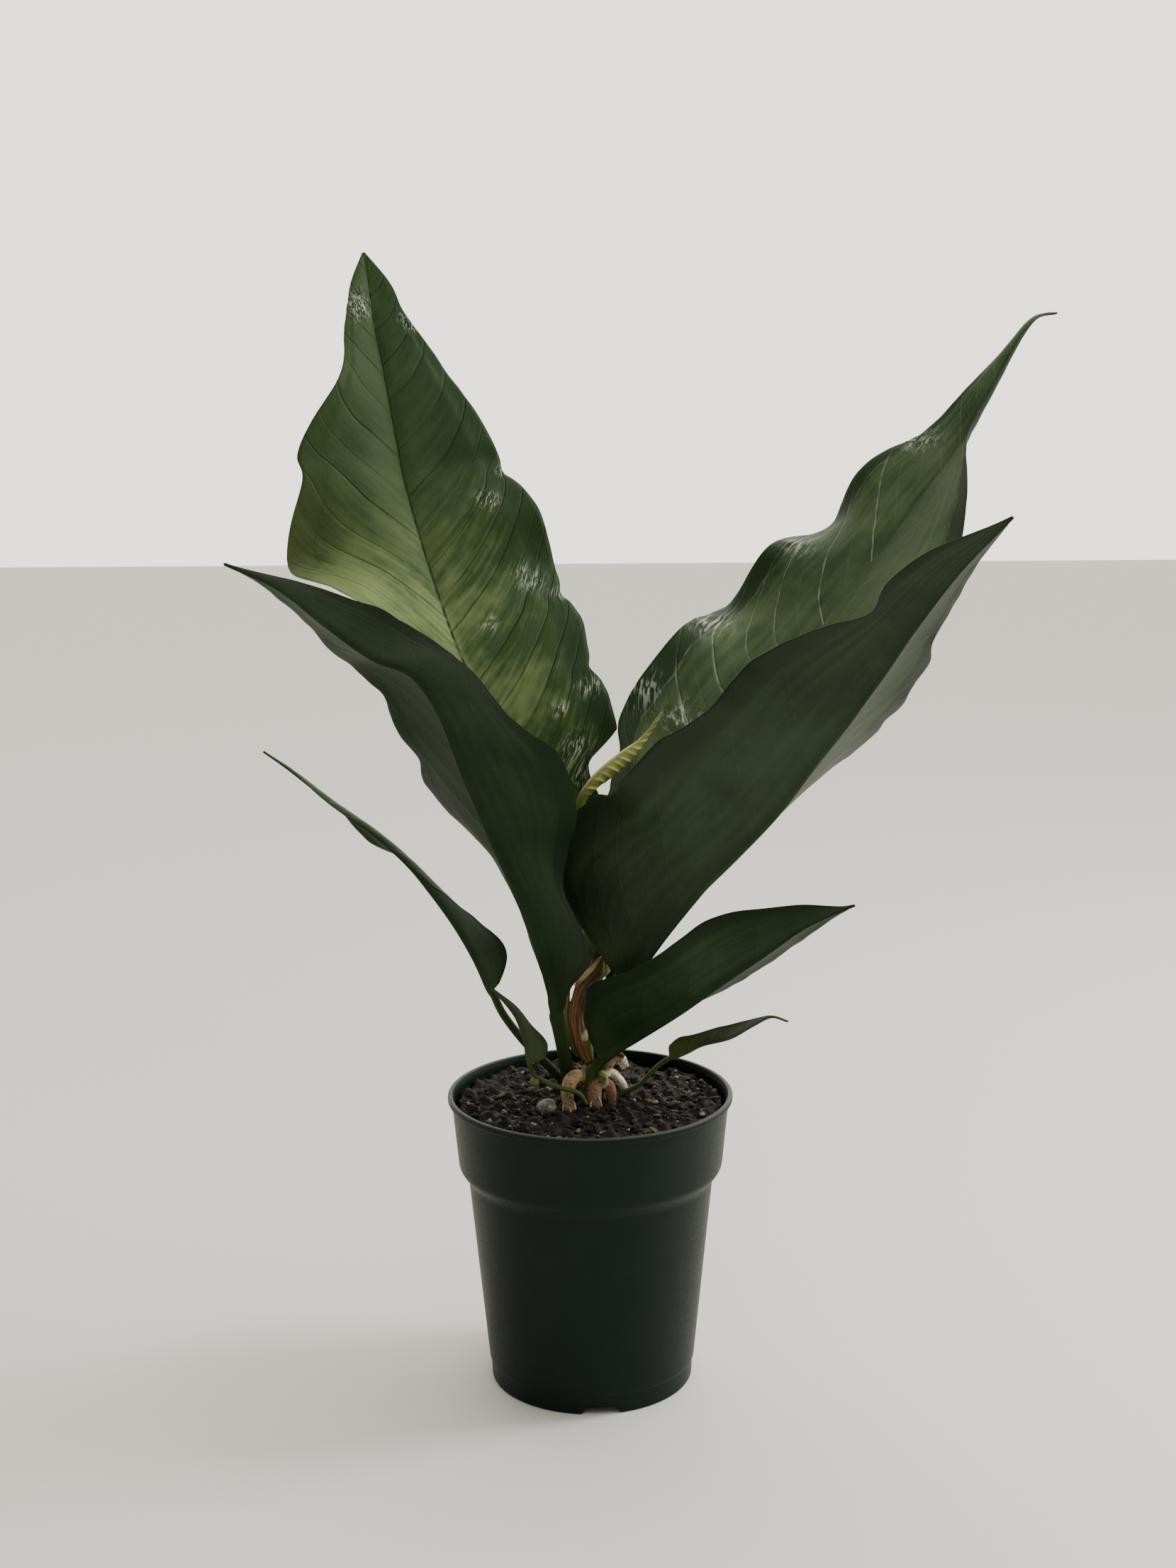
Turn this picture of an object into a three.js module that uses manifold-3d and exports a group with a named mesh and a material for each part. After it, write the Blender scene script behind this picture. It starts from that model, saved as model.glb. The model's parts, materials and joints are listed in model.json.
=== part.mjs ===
// A waterdragon anthurium in its nursery pot, in millimetres, +Z up.
// The origin is the centre of the pot's underside, where the pot stands.
// X runs to the viewer's right and Y away from the viewer.
import * as THREE from 'three';
import { mergeVertices } from 'three/addons/utils/BufferGeometryUtils.js';
import Module from 'manifold-3d';

const wasm = await Module();
wasm.setup();

// Driving sizes of the pot
const POT_HEIGHT = 172.5;
const RIM_RADIUS = 82.5;
const RIM_WIDTH = 2.6;
const RIM_DEPTH = 3.2;
const WALL = 1.5;
const BAND_HEIGHT = 44.5;
const BAND_TOP_RADIUS = 80.2;
const BAND_FOOT_RADIUS = 76.6;
const LEDGE_DROP = 5;
const BODY_TOP_RADIUS = 71.2;
const BODY_FOOT_RADIUS = 60.4;
const FOOT_RADIUS = 59;
const FOOT_HEIGHT = 12;
const FOOT_WIDTH = 3.2;
const FLOOR_RAISE = 4.5;
const PAD_RADIUS = 34;
const POT_SECTORS = 42;
const NOTCH_COUNT = 3;
const NOTCH_WIDTH = 23;
const NOTCH_HEIGHT = 4.5;
const NOTCH_TURN = 5 * Math.PI / 180;
const NOTCH_DEPTH = 12;

// Potting mix
const SOIL_DROP = 8;
const SOIL_SECTORS = 40;
const SOIL_RING_STEP = 8;
const SOIL_ROUGHNESS = 1.3;
const SOIL_BANK = 2.2;
const HOLLOW_PLACE = [36, 58];
const HOLLOW_DEPTH = 5;
const HOLLOW_SPREAD = 60;

// Clear gap kept between pieces that touch
const GAP = 0.3;
const SOIL_TOP = POT_HEIGHT - SOIL_DROP;

// Colours
const COLOURS = {
  pot: '#22302a', soil: '#2b221c', perlite: '#c9c6bd', crown: '#8d7358', sheath: '#9a7a55', stub: '#7f8a4a',
  lit: '#4f5f35', dark: '#2c3d2c', under: '#1c2a1c', young: '#8f9440',
};

const group = new THREE.Group();

function addPiece(name, geometry, colour, roughness = 0.6) {
  const material = new THREE.MeshStandardMaterial({ color: colour, roughness, metalness: 0 });
  const mesh = new THREE.Mesh(geometry, material);
  mesh.name = name;
  group.add(mesh);
}

// A closed geometry as a solid for cutting and joining, and back again
function toSolid(geometry) {
  const bare = geometry.clone();
  bare.deleteAttribute('normal');
  bare.deleteAttribute('uv');
  const welded = mergeVertices(bare, 1e-4);
  return new wasm.Manifold(new wasm.Mesh({
    numProp: 3,
    vertProperties: new Float32Array(welded.attributes.position.array),
    triVerts: new Uint32Array(welded.index.array),
  }));
}

function toGeometry(solid) {
  const mesh = solid.getMesh();
  const geometry = new THREE.BufferGeometry();
  geometry.setAttribute('position', new THREE.BufferAttribute(new Float32Array(mesh.vertProperties), 3));
  geometry.setIndex(new THREE.BufferAttribute(new Uint32Array(mesh.triVerts), 1));
  geometry.computeVertexNormals();
  return geometry;
}

const join = (solids) => solids.reduce((whole, solid) => whole.add(solid));

// A solid less its cutters. Loose scraps that the cuts leave are dropped.
function cutAway(solid, cutters) {
  const rest = cutters.reduce((left, cutter) => left.subtract(cutter), solid);
  return rest.decompose().reduce((largest, piece) => (piece.volume() > largest.volume() ? piece : largest));
}

// A skin over rings of equal point count, closed at both ends. Rings run anticlockwise seen from
// ahead. From point flip on, the faces are split the other way, so that both sides of a blade match.
function loft(rings, flip = Infinity) {
  const count = rings[0].length;
  const points = rings.flat();
  const faces = [];
  for (let ring = 0; ring < rings.length - 1; ring++) {
    for (let side = 0; side < count; side++) {
      const next = (side + 1) % count;
      const a = ring * count + side;
      const b = ring * count + next;
      const c = b + count;
      const d = a + count;
      if (side < flip) faces.push(a, b, c, a, c, d);
      else faces.push(a, b, d, b, c, d);
    }
  }
  const last = points.length - count;
  const capCentre = (start) => {
    const middle = new THREE.Vector3();
    for (let side = 0; side < count; side++) middle.add(points[start + side]);
    return points.push(middle.divideScalar(count)) - 1;
  };
  const tail = capCentre(0);
  const nose = capCentre(last);
  for (let side = 0; side < count; side++) {
    const next = (side + 1) % count;
    faces.push(tail, next, side, nose, last + side, last + next);
  }
  const geometry = new THREE.BufferGeometry().setFromPoints(points);
  geometry.setIndex(faces);
  geometry.computeVertexNormals();
  return geometry;
}

// A value from rows of numbers, on a smooth curve through the rows
function between(rows, place, column) {
  const row = Math.min(Math.floor(place), rows.length - 2);
  const t = place - row;
  const at = (index) => {
    if (index < 0) return 2 * rows[0][column] - rows[1][column];
    if (index >= rows.length) return 2 * rows.at(-1)[column] - rows.at(-2)[column];
    return rows[index][column];
  };
  const [p, q, r, s] = [at(row - 1), at(row), at(row + 1), at(row + 2)];
  return q + 0.5 * t * (r - p + t * (2 * p - 5 * q + 4 * r - s + t * (3 * (q - r) + s - p)));
}

// A round rod of changing thickness through rows of [x, y, z, radius]
function rod(rows, sides, steps, grow = 0) {
  const centres = [];
  const radii = [];
  const total = (rows.length - 1) * steps;
  for (let step = 0; step <= total; step++) {
    const place = step / steps;
    const [x, y, z] = [0, 1, 2].map((column) => between(rows, place, column));
    centres.push(new THREE.Vector3(x, y, z));
    radii.push(between(rows, place, 3) + grow);
  }
  if (grow > 0) {
    centres[0].add(centres[0].clone().sub(centres[1]).setLength(grow));
    centres[total].add(centres[total].clone().sub(centres[total - 1]).setLength(grow));
  }
  const rings = centres.map((centre, index) => {
    const behind = centres[Math.max(index - 1, 0)];
    const ahead = centres[Math.min(index + 1, total)].clone().sub(behind).normalize();
    const guide = Math.abs(ahead.z) > 0.8 ? new THREE.Vector3(1, 0, 0) : new THREE.Vector3(0, 0, 1);
    const across = guide.cross(ahead).normalize();
    const up = ahead.clone().cross(across);
    return Array.from({ length: sides }, (_, side) => {
      const turn = 2 * Math.PI * side / sides;
      return centre.clone()
        .addScaledVector(across, Math.cos(turn) * radii[index])
        .addScaledVector(up, Math.sin(turn) * radii[index]);
    });
  });
  return loft(rings);
}

// The pot: one turned wall with a rolled rim, a wide band, a stepped foot and a raised floor
function potGeometry() {
  const bandFoot = POT_HEIGHT - BAND_HEIGHT;
  const innerBand = BAND_FOOT_RADIUS - WALL;
  const floorTop = FLOOR_RAISE + WALL;
  const profile = [
    [0, 0], [PAD_RADIUS, 0], [PAD_RADIUS + 4, FLOOR_RAISE], [FOOT_RADIUS - FOOT_WIDTH - 1, FLOOR_RAISE],
    [FOOT_RADIUS - FOOT_WIDTH, 0], [FOOT_RADIUS - 0.8, 0], [FOOT_RADIUS, 0.8],
    [BODY_FOOT_RADIUS - 0.9, FOOT_HEIGHT - 0.6], [BODY_FOOT_RADIUS, FOOT_HEIGHT + 0.6],
    [BODY_TOP_RADIUS, bandFoot - LEDGE_DROP], [BAND_FOOT_RADIUS - 1.6, bandFoot - 0.4],
    [BAND_FOOT_RADIUS, bandFoot + 2.4], [BAND_TOP_RADIUS, POT_HEIGHT - RIM_DEPTH - 1],
    [RIM_RADIUS, POT_HEIGHT - RIM_DEPTH], [RIM_RADIUS, POT_HEIGHT - 0.8], [RIM_RADIUS - 0.8, POT_HEIGHT],
    [RIM_RADIUS - RIM_WIDTH, POT_HEIGHT], [BAND_TOP_RADIUS - WALL, POT_HEIGHT - RIM_DEPTH],
    [innerBand, bandFoot + 1], [BODY_TOP_RADIUS - WALL, bandFoot - LEDGE_DROP],
    [BODY_FOOT_RADIUS - WALL, FOOT_HEIGHT], [FOOT_RADIUS - WALL, floorTop + 1],
    [FOOT_RADIUS - WALL - 1, floorTop],
    [PAD_RADIUS + 3, floorTop], [PAD_RADIUS - 1, WALL], [0, WALL],
  ].map(([r, z]) => new THREE.Vector2(r, z));
  const wall = new THREE.LatheGeometry(profile, POT_SECTORS);
  wall.rotateX(Math.PI / 2);
  const notches = [];
  for (let index = 0; index < NOTCH_COUNT; index++) {
    const outline = new THREE.Shape([
      new THREE.Vector2(-NOTCH_WIDTH / 2, -1), new THREE.Vector2(NOTCH_WIDTH / 2, -1),
      new THREE.Vector2(NOTCH_WIDTH / 2 - 3, NOTCH_HEIGHT),
      new THREE.Vector2(-NOTCH_WIDTH / 2 + 3, NOTCH_HEIGHT),
    ]);
    const block = new THREE.ExtrudeGeometry(outline, { depth: NOTCH_DEPTH, bevelEnabled: false });
    block.rotateX(Math.PI / 2);
    block.translate(0, -FOOT_RADIUS + NOTCH_DEPTH * 0.75, 0);
    block.rotateZ(NOTCH_TURN + 2 * Math.PI * index / NOTCH_COUNT);
    notches.push(toSolid(block));
  }
  return toGeometry(cutAway(toSolid(wall), notches));
}

// The inner radius of the pot's wall at a height
function innerRadius(z) {
  const bandFoot = POT_HEIGHT - BAND_HEIGHT;
  const rise = (low, high, zLow, zHigh) => low + (high - low) * (z - zLow) / (zHigh - zLow);
  if (z > bandFoot) return rise(BAND_FOOT_RADIUS, BAND_TOP_RADIUS, bandFoot, POT_HEIGHT) - WALL;
  return rise(BODY_FOOT_RADIUS, BODY_TOP_RADIUS, FOOT_HEIGHT, bandFoot - LEDGE_DROP) - WALL;
}

// Crumbly relief of the mix, lowest in the open middle right and heaped a little at the wall
function soilHeight(x, y) {
  const lumps = Math.sin(x * 0.31 + 1.3) * Math.cos(y * 0.27 - 0.6) + Math.sin(x * 0.17 - y * 0.41 + 2.1)
    + 0.6 * Math.sin(x * 0.63 + y * 0.55);
  const bank = SOIL_BANK * (Math.hypot(x, y) / RIM_RADIUS) ** 4;
  const [hollowX, hollowY] = HOLLOW_PLACE;
  const hollow = HOLLOW_DEPTH * Math.exp(-((x - hollowX) ** 2 + (y - hollowY) ** 2) / HOLLOW_SPREAD);
  return SOIL_TOP + SOIL_ROUGHNESS * lumps + bank - hollow;
}

// Every leaf is one skin of rings: a round stalk that spreads into a folded, waved blade.
// A leaf grows from its foot [x, y] on the crown, in the upright plane of its heading (degrees).
// stalk rows: [reach, height, drift, radius]
// blade rows: [reach, height, drift, left half width, left fold, right half width, right fold]
// A fold is the angle, in degrees up from flat, at which a half reaches its margin. Beside the rib
// the halves leave it at the leaf's own base folds, so that margins wave and the middle stays smooth.
const BLADE = 0.8;
const SIDES = 14;
const BESIDE_RIB = 0.01;
const ACROSS = [-1, -0.55, -BESIDE_RIB, 0, BESIDE_RIB, 0.55, 1];
const RIB_PROUD = 0.55;
const KEEL_DEEP = 1.35;
const RIB_SHARE = 0.4;

const LEAVES = {
  leaf_back_left: {
    heading: 126, foot: [4, 20], base: [18, 18], rib: [3.6, 0.5], steps: 3, colour: COLOURS.lit,
    stalk: [[6, 160, 2, 4.3], [6, 190, 2, 3.8], [7, 222, 1, 3.6], [8, 240, 0, 3.6]],
    blade: [
      [8, 240, 0, 8, 45, 8, 40], [28, 274, 0, 30, 50, 28, 40], [54, 310, 0, 50, 62, 51, 45],
      [84, 346, 0, 64, 58, 69, 40], [114, 380, 0, 78, 50, 75, 22], [143, 412, 0, 88, 34, 84, 17],
      [166, 446, 0, 88, 14, 84, 12], [187, 482, 0, 86, -19, 80, 21], [205, 518, 0, 72, -1, 71, 11],
      [211, 536, 0, 69, -6, 64, 15], [217, 554, 0, 58, -2, 57, 16],
      [227, 585, 0, 35, 14, 41, 13], [237, 614, 0, 22, 4, 26, 13],
      [243, 640, 0, 13, 0, 15, 13], [248, 660, 0, 1, 4, 1, 13],
    ],
  },
  leaf_back_right: {
    heading: 33, foot: [8, 19], base: [38, 4], rib: [3.4, 0.5], steps: 3, colour: COLOURS.dark,
    stalk: [[4, 160, 3, 4.1], [4, 195, 3, 3.6], [6, 235, 1, 3.4], [10, 262, 0, 3.4]],
    blade: [
      [10, 262, 0, 8, 45, 8, 10], [34, 302, 0, 36, 50, 34, 11], [64, 333, 0, 64, 42, 54, 10],
      [96, 365, 0, 71, 45, 66, 5], [125, 393, 0, 70, 48, 72, 3], [154, 422, 0, 67, 22, 72, -2],
      [183, 451, 0, 60, 38, 70, -6], [212, 480, 0, 52, 9, 62, -2], [241, 510, 0, 44, 31, 46, 11],
      [270, 538, 0, 26, 26, 22, 35], [294, 569, 0, 16, 25, 14, 39], [318, 602, 0, 8, -5, 7, 38],
      [333, 616, 0, 4, 0, 4, 20], [350, 619, 0, 0.8, 0, 0.8, 20],
    ],
  },
  leaf_front_right: {
    heading: -40, foot: [10, 8], base: [14, 50], rib: [3.2, 0.5], steps: 3, colour: COLOURS.under,
    stalk: [[-5, 160, 0, 3.6], [-5, 184, 0, 3.5], [2, 208, 0, 3.4], [16, 238, 0, 3.2]],
    blade: [
      [16, 238, 0, 8, 20, 10, 57], [40, 269, 0, 54, 18, 77, 64], [66, 299, 0, 70, 20, 83, 67],
      [92, 324, 0, 75, 18, 78, 52], [118, 350, 0, 73, 14, 74, 55], [141, 378, 0, 67, 8, 65, 48],
      [152, 391, 0, 59, 6, 62, 54], [163, 404, 0, 61, 3, 59, 59], [173, 417, 0, 52, 3, 53, 56],
      [184, 431, 0, 50, 2, 45, 50], [201, 454, 0, 35, 2, 32, 46],
      [226, 484, 0, 19, 7, 18, 55], [254, 511, 0, 1, 5, 1, 34],
    ],
  },
  leaf_front_left: {
    heading: 218, foot: [-6, 9], base: [26, 8], rib: [3.3, 0.5], steps: 3, colour: COLOURS.under,
    stalk: [
      [4, 160, -5, 4.3], [6, 183, -4.5, 4.1], [13, 208, -1.5, 4.1], [18, 225, 0, 4.9], [20, 236, 0, 4.0],
    ],
    blade: [
      [20, 236, 0, 14, 12, 7, 10], [30, 266, 0, 46, 4, 26, 23], [45, 300, 0, 43, 4, 44, 25],
      [54, 318, 0, 45, 20, 57, 15], [62, 335, 0, 53, 36, 62, 8], [78, 368, 0, 58, 32, 57, 4],
      [92, 400, 0, 56, 8, 56, -1], [110, 424, 0, 50, 8, 50, -4], [136, 436, 0, 41, 23, 41, 0],
      [162, 454, 0, 30, 30, 30, 6],
      [190, 475, 0, 16, 17, 16, 0], [220, 489, 0, 1, 3, 1, 0],
    ],
  },
  leaf_low_left: {
    heading: 180, foot: [-8, 15], base: [40, -5], rib: [2.2, 0.5], steps: 2, colour: COLOURS.under,
    stalk: [
      [0, 162, -3, 3.0], [14, 180, -2, 2.8], [29, 196, -1, 2.6], [42, 214, 0, 2.5], [48, 227, 0, 2.4],
    ],
    blade: [
      [49, 228, 0, 4, 60, 4, 0], [57, 247, 0, 23, 58, 20, -8], [68, 267, 0, 29, 36, 25, -10],
      [81, 286, 0, 27, 21, 24, -8], [96, 306, 0, 22, 8, 22, -8], [116, 326, 0, 18, 8, 18, -36],
      [140, 344, 0, 13, 3, 13, -14], [162, 360, 0, 8, 12, 8, -10], [177, 371, 0, 1, 0, 1, -10],
    ],
  },
  leaf_low_right: {
    heading: -22, foot: [6, 4], base: [-5, 45], rib: [2.6, 0.5], steps: 2, colour: COLOURS.under,
    stalk: [[-7, 162, 0, 3.8], [-6, 180, 0, 3.7], [-2, 188, 0, 2.9]],
    blade: [
      [1, 190, 0, 2.5, -5, 14, 75], [10, 198, 0, 5, -5, 30, 71], [22, 206, 0, 27, -4, 43, 66],
      [48, 224, 0, 36, -6, 41, 58], [74, 244, 0, 35, -12, 44, 48], [98, 262, 0, 30, -13, 35, 64],
      [120, 279, 0, 19, -17, 18, 66], [136, 288, 0, 9, -18, 8, 60], [150, 295, 0, 1, -20, 1, 22],
    ],
  },
  leaf_small_right: {
    heading: -15, foot: [12, 16], base: [-5, 35], rib: [1.4, 0.4], steps: 2, colour: COLOURS.dark,
    stalk: [
      [2, 162, 3, 1.8], [9, 167, 1.5, 1.6], [18, 173, 0, 1.5], [27, 183, 0, 1.5], [34, 189, 0, 1.5],
    ],
    blade: [
      [36, 190, 0, 4, -5, 7, 62], [46, 195, 0, 10, -8, 11, 63], [55, 200, 0, 11, -10, 12, 45],
      [71, 205, 0, 9, -10, 10, 58], [84, 213, 0, 6, -12, 7, 43], [95, 219, 0, 3, -20, 4, 20],
      [105, 217, 0, 0.8, -20, 0.8, 20],
    ],
  },
  leaf_small_left: {
    heading: 215, foot: [0, -3], base: [15, 18], rib: [1.4, 0.4], steps: 2, colour: COLOURS.dark,
    swollen: true,
    stalk: [
      [4, 167, 1.5, 1.6], [12, 176, 4, 1.6], [26, 182, 2, 1.6], [36, 188, 0, 1.5], [41, 194, 0, 1.5],
    ],
    blade: [
      [42, 198, 0, 9, 20, 5, 20], [44, 211, 0, 15, 21, 9, 28], [49, 225, 0, 12, 3, 10, 18],
      [56, 235, 0, 8, 8, 7, 8], [66, 246, 0, 0.9, 8, 0.9, 8],
    ],
  },
};

const radians = (degrees) => degrees * Math.PI / 180;

// The centre line of a leaf with its upright and sideways directions at every ring
function leafFrames(leaf, centres) {
  const sideways = new THREE.Vector3(-Math.sin(radians(leaf.heading)), Math.cos(radians(leaf.heading)), 0);
  return centres.map((centre, index) => {
    const ahead = centres[Math.min(index + 1, centres.length - 1)].clone()
      .sub(centres[Math.max(index - 1, 0)]).normalize();
    const up = ahead.clone().cross(sideways).normalize();
    const left = up.clone().cross(ahead);
    return { centre, ahead, up, left };
  });
}

function leafPoint(leaf, [reach, height, drift]) {
  const turn = radians(leaf.heading);
  return new THREE.Vector3(
    leaf.foot[0] + reach * Math.cos(turn) - drift * Math.sin(turn),
    leaf.foot[1] + reach * Math.sin(turn) + drift * Math.cos(turn),
    height,
  );
}

const readRow = (rows, place) => rows[0].map((_, column) => between(rows, place, column));

// Evenly spaced places along rows, steps to each interval
function places(rows, steps) {
  return Array.from({ length: (rows.length - 1) * steps + 1 }, (_, index) => index / steps);
}

function stalkRing({ centre, up, left }, radius) {
  return Array.from({ length: SIDES }, (_, side) => {
    const turn = Math.PI - (side + 0.5) * 2 * Math.PI / SIDES;
    return centre.clone()
      .addScaledVector(left, -Math.cos(turn) * radius)
      .addScaledVector(up, Math.sin(turn) * radius);
  });
}

// One ring of the blade: across the top face from left to right and back under it
function bladeRing({ centre, up, left }, leaf, row, along) {
  const [, , , leftWide, leftFold, rightWide, rightFold] = row;
  const rib = leaf.rib[0] * (1 - along) + leaf.rib[1] * along;
  const half = BLADE / 2;
  const sides = [
    { out: left, wide: leftWide, base: radians(leaf.base[0]), fold: radians(leftFold) },
    { out: left.clone().negate(), wide: rightWide, base: radians(leaf.base[1]), fold: radians(rightFold) },
  ];
  const tilt = (sides[1].base - sides[0].base) / 2;
  const middle = up.clone().multiplyScalar(Math.cos(tilt)).addScaledVector(left, Math.sin(tilt));
  const point = (across, face) => {
    if (across === 0) {
      const depth = face > 0 ? half + rib * RIB_PROUD : -half - rib * KEEL_DEEP;
      return centre.clone().addScaledVector(middle, depth);
    }
    const { out, wide, base, fold } = sides[across < 0 ? 0 : 1];
    const share = Math.abs(across) === BESIDE_RIB ? Math.min(rib / wide, RIB_SHARE) : Math.abs(across);
    const angle = base + (fold - base) * share;
    return centre.clone()
      .addScaledVector(out, wide * share * Math.cos(angle) - face * half * Math.sin(angle))
      .addScaledVector(up, wide * share * Math.sin(angle) + face * half * Math.cos(angle));
  };
  const upper = ACROSS.map((across) => point(across, 1));
  const lower = ACROSS.toReversed().map((across) => point(across, -1));
  return [...upper, ...lower];
}

function leafGeometry(leaf) {
  const stalkPlaces = places(leaf.stalk, 2).slice(0, -1);
  const bladePlaces = places(leaf.blade, leaf.steps);
  const stalkRows = stalkPlaces.map((place) => readRow(leaf.stalk, place));
  const bladeRows = bladePlaces.map((place) => readRow(leaf.blade, place));
  const frames = leafFrames(leaf, [...stalkRows, ...bladeRows].map((row) => leafPoint(leaf, row)));
  const rings = frames.map((frame, index) => {
    if (index < stalkRows.length) return stalkRing(frame, stalkRows[index][3]);
    const blade = index - stalkRows.length;
    return bladeRing(frame, leaf, bladeRows[blade], blade / (bladeRows.length - 1));
  });
  return loft(rings, SIDES / 2);
}

// The lower stalk alone, thickened by grow, to make the hole that the leaf stands in
function stalkGeometry(leaf, grow) {
  const rows = places(leaf.stalk, 2).map((place) => readRow(leaf.stalk, place));
  const frames = leafFrames(leaf, rows.map((row) => leafPoint(leaf, row)));
  frames[0].centre.addScaledVector(frames[0].ahead, -grow);
  return loft(frames.map((frame, index) => stalkRing(frame, rows[index][3] + grow)));
}

// Rods of the short stem with its roots, the bud and the stub of a cut stalk: rows of [x, y, z, radius]
const STEM = [
  [2, 14, 118, 5], [2, 14, 138, 7], [2, 13, 156, 8], [2.5, 12.5, 166, 7.5], [3, 12, 174, 6],
  [3.5, 11, 180, 4.5],
];
const ROOTS = [
  [
    [-2.5, 9.5, 177, 3.4], [-8, 2.5, 180.5, 3.9], [-11.5, -3, 179, 4.2], [-13, -7, 174, 3.9],
    [-12.5, -9.5, 167, 3.4], [-11.5, -10.5, 160, 2.6],
  ],
  [[3, 9, 176, 4], [2.5, 2, 172, 4.3], [2.3, -2, 166, 4.2], [2.5, -5, 157, 3.4]],
  [[4, 8, 172, 3.4], [9, 6.5, 175, 3.3], [12, 4.5, 171, 3.2], [12.5, 3, 163, 2.6]],
  [
    [5, 14, 174, 3], [8.5, 15.5, 178.5, 2.9], [12, 17.5, 179.5, 2.9], [17, 21, 174, 2.8], [20, 24, 167, 2.5],
    [21, 25, 160, 1.6],
  ],
  [[8, 15.5, 176, 2.6], [14, 19.5, 180.5, 2.9], [17, 21.3, 182.5, 3.3], [19, 22.4, 182, 2.5]],
];
const BUD = [[-1, 11, 180, 2], [-3.5, 8, 184, 1.7]];
const STUB = [[6, 9, 170, 3], [6.9, 5.6, 176, 3], [7.2, 3.4, 181.5, 2.7]];

function crownRods(grow) {
  return [rod(STEM, 12, 1, grow), ...[...ROOTS, BUD, STUB].map((rows) => rod(rows, 8, 1, grow))];
}

function crownGeometry() {
  const stalks = Object.values(LEAVES).map((leaf) => stalkGeometry(leaf, GAP));
  const sockets = [...stalks, rod(NEW_LEAF, 8, 1, GAP)];
  return toGeometry(cutAway(join(crownRods(0).map(toSolid)), sockets.map(toSolid)));
}

// The youngest leaf, still rolled up, on a straight stalk: rows of [x, y, z, radius]
const NEW_LEAF = [
  [0, 15, 166, 2.8], [-1, 14.5, 195, 2.6], [-4, 14, 235, 2.4], [-6, 13, 280, 2.2], [-6, 13, 312, 2.2],
  [-5, 14, 338, 2.6], [2, 17.5, 349, 3.4], [11, 23, 356, 4.2], [22, 29, 364, 4.6], [34, 36, 374, 3.4],
  [43, 41, 387, 0.6],
];

// Papery sheaths round the new leaf's stalk: rows of [x, y, z, radius, facing, half span], in degrees
const SHEATH = 0.8;
const SHEATH_POINTS = 5;
const SHEATHS = {
  sheath_dry: {
    colour: COLOURS.sheath,
    rows: [
      [-0.5, 13, 187, 4.4, 250, 60], [-3.5, 13.5, 194, 6, 250, 62], [-5, 13.5, 202, 7, 250, 64],
      [-6.5, 13.5, 213, 7.5, 255, 64], [-6, 13.5, 224, 7, 260, 62], [-3, 13.5, 234, 8.5, 265, 64],
      [3.5, 13.5, 242, 8.5, 270, 62], [7.5, 13, 250.5, 5.5, 272, 20],
    ],
  },
  sheath_green: {
    colour: COLOURS.young,
    rows: [
      [-1.8, 13.2, 190, 6.4, 200, 14], [-3.5, 13.5, 194, 7.3, 203, 18], [-5, 13.5, 202, 8.3, 205, 20],
      [-6.5, 13.5, 213, 8.8, 205, 20], [-6, 13.5, 224, 8.3, 207, 18], [-4, 13.5, 231, 9.2, 208, 5],
    ],
  },
};

function sheathGeometry(rows) {
  const rings = places(rows, 1).map((place) => {
    const [x, y, z, radius, facing, halfSpan] = readRow(rows, place);
    const arc = (r) => Array.from({ length: SHEATH_POINTS }, (_, index) => {
      const turn = radians(facing + halfSpan * (2 * index / (SHEATH_POINTS - 1) - 1));
      return new THREE.Vector3(x + r * Math.cos(turn), y + r * Math.sin(turn), z);
    });
    return [...arc(radius + SHEATH / 2), ...arc(radius - SHEATH / 2).toReversed()];
  });
  return loft(rings, SHEATH_POINTS);
}

// A grey lump of perlite half sunk in the mix
const LUMP_PLACE = [-25, -11, 167];
const LUMP_SIZE = [6.2, 5, 4.6];
const LUMP_TURN = 0.5;

function lumpGeometry(grow) {
  const stone = new THREE.IcosahedronGeometry(1, 1);
  const [wide, deep, tall] = LUMP_SIZE;
  stone.scale(wide + grow, deep + grow, tall + grow);
  stone.rotateZ(LUMP_TURN);
  stone.translate(...LUMP_PLACE);
  return stone;
}

// Coarse grains of bark and perlite that stand out of the mix, on a golden spiral
const GRAIN_COUNT = 20;
const GRAIN_SIZE = 1.5;
const GRAIN_INNER = 28;
const GRAIN_SPREAD = 42;
const GOLDEN_TURN = Math.PI * (3 - Math.sqrt(5));

function grains() {
  return Array.from({ length: GRAIN_COUNT }, (_, index) => {
    const r = GRAIN_INNER + GRAIN_SPREAD * Math.sqrt((index + 0.5) / GRAIN_COUNT);
    const turn = index * GOLDEN_TURN;
    const [x, y] = [r * Math.cos(turn), r * Math.sin(turn)];
    const grain = new THREE.IcosahedronGeometry(GRAIN_SIZE * (1 + (index * 7 % 5) * 0.2), 0);
    grain.scale(1.4, 1, 0.9);
    grain.rotateZ(index);
    grain.translate(x, y, soilHeight(x, y) + 0.2);
    return toSolid(grain);
  });
}

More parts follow.
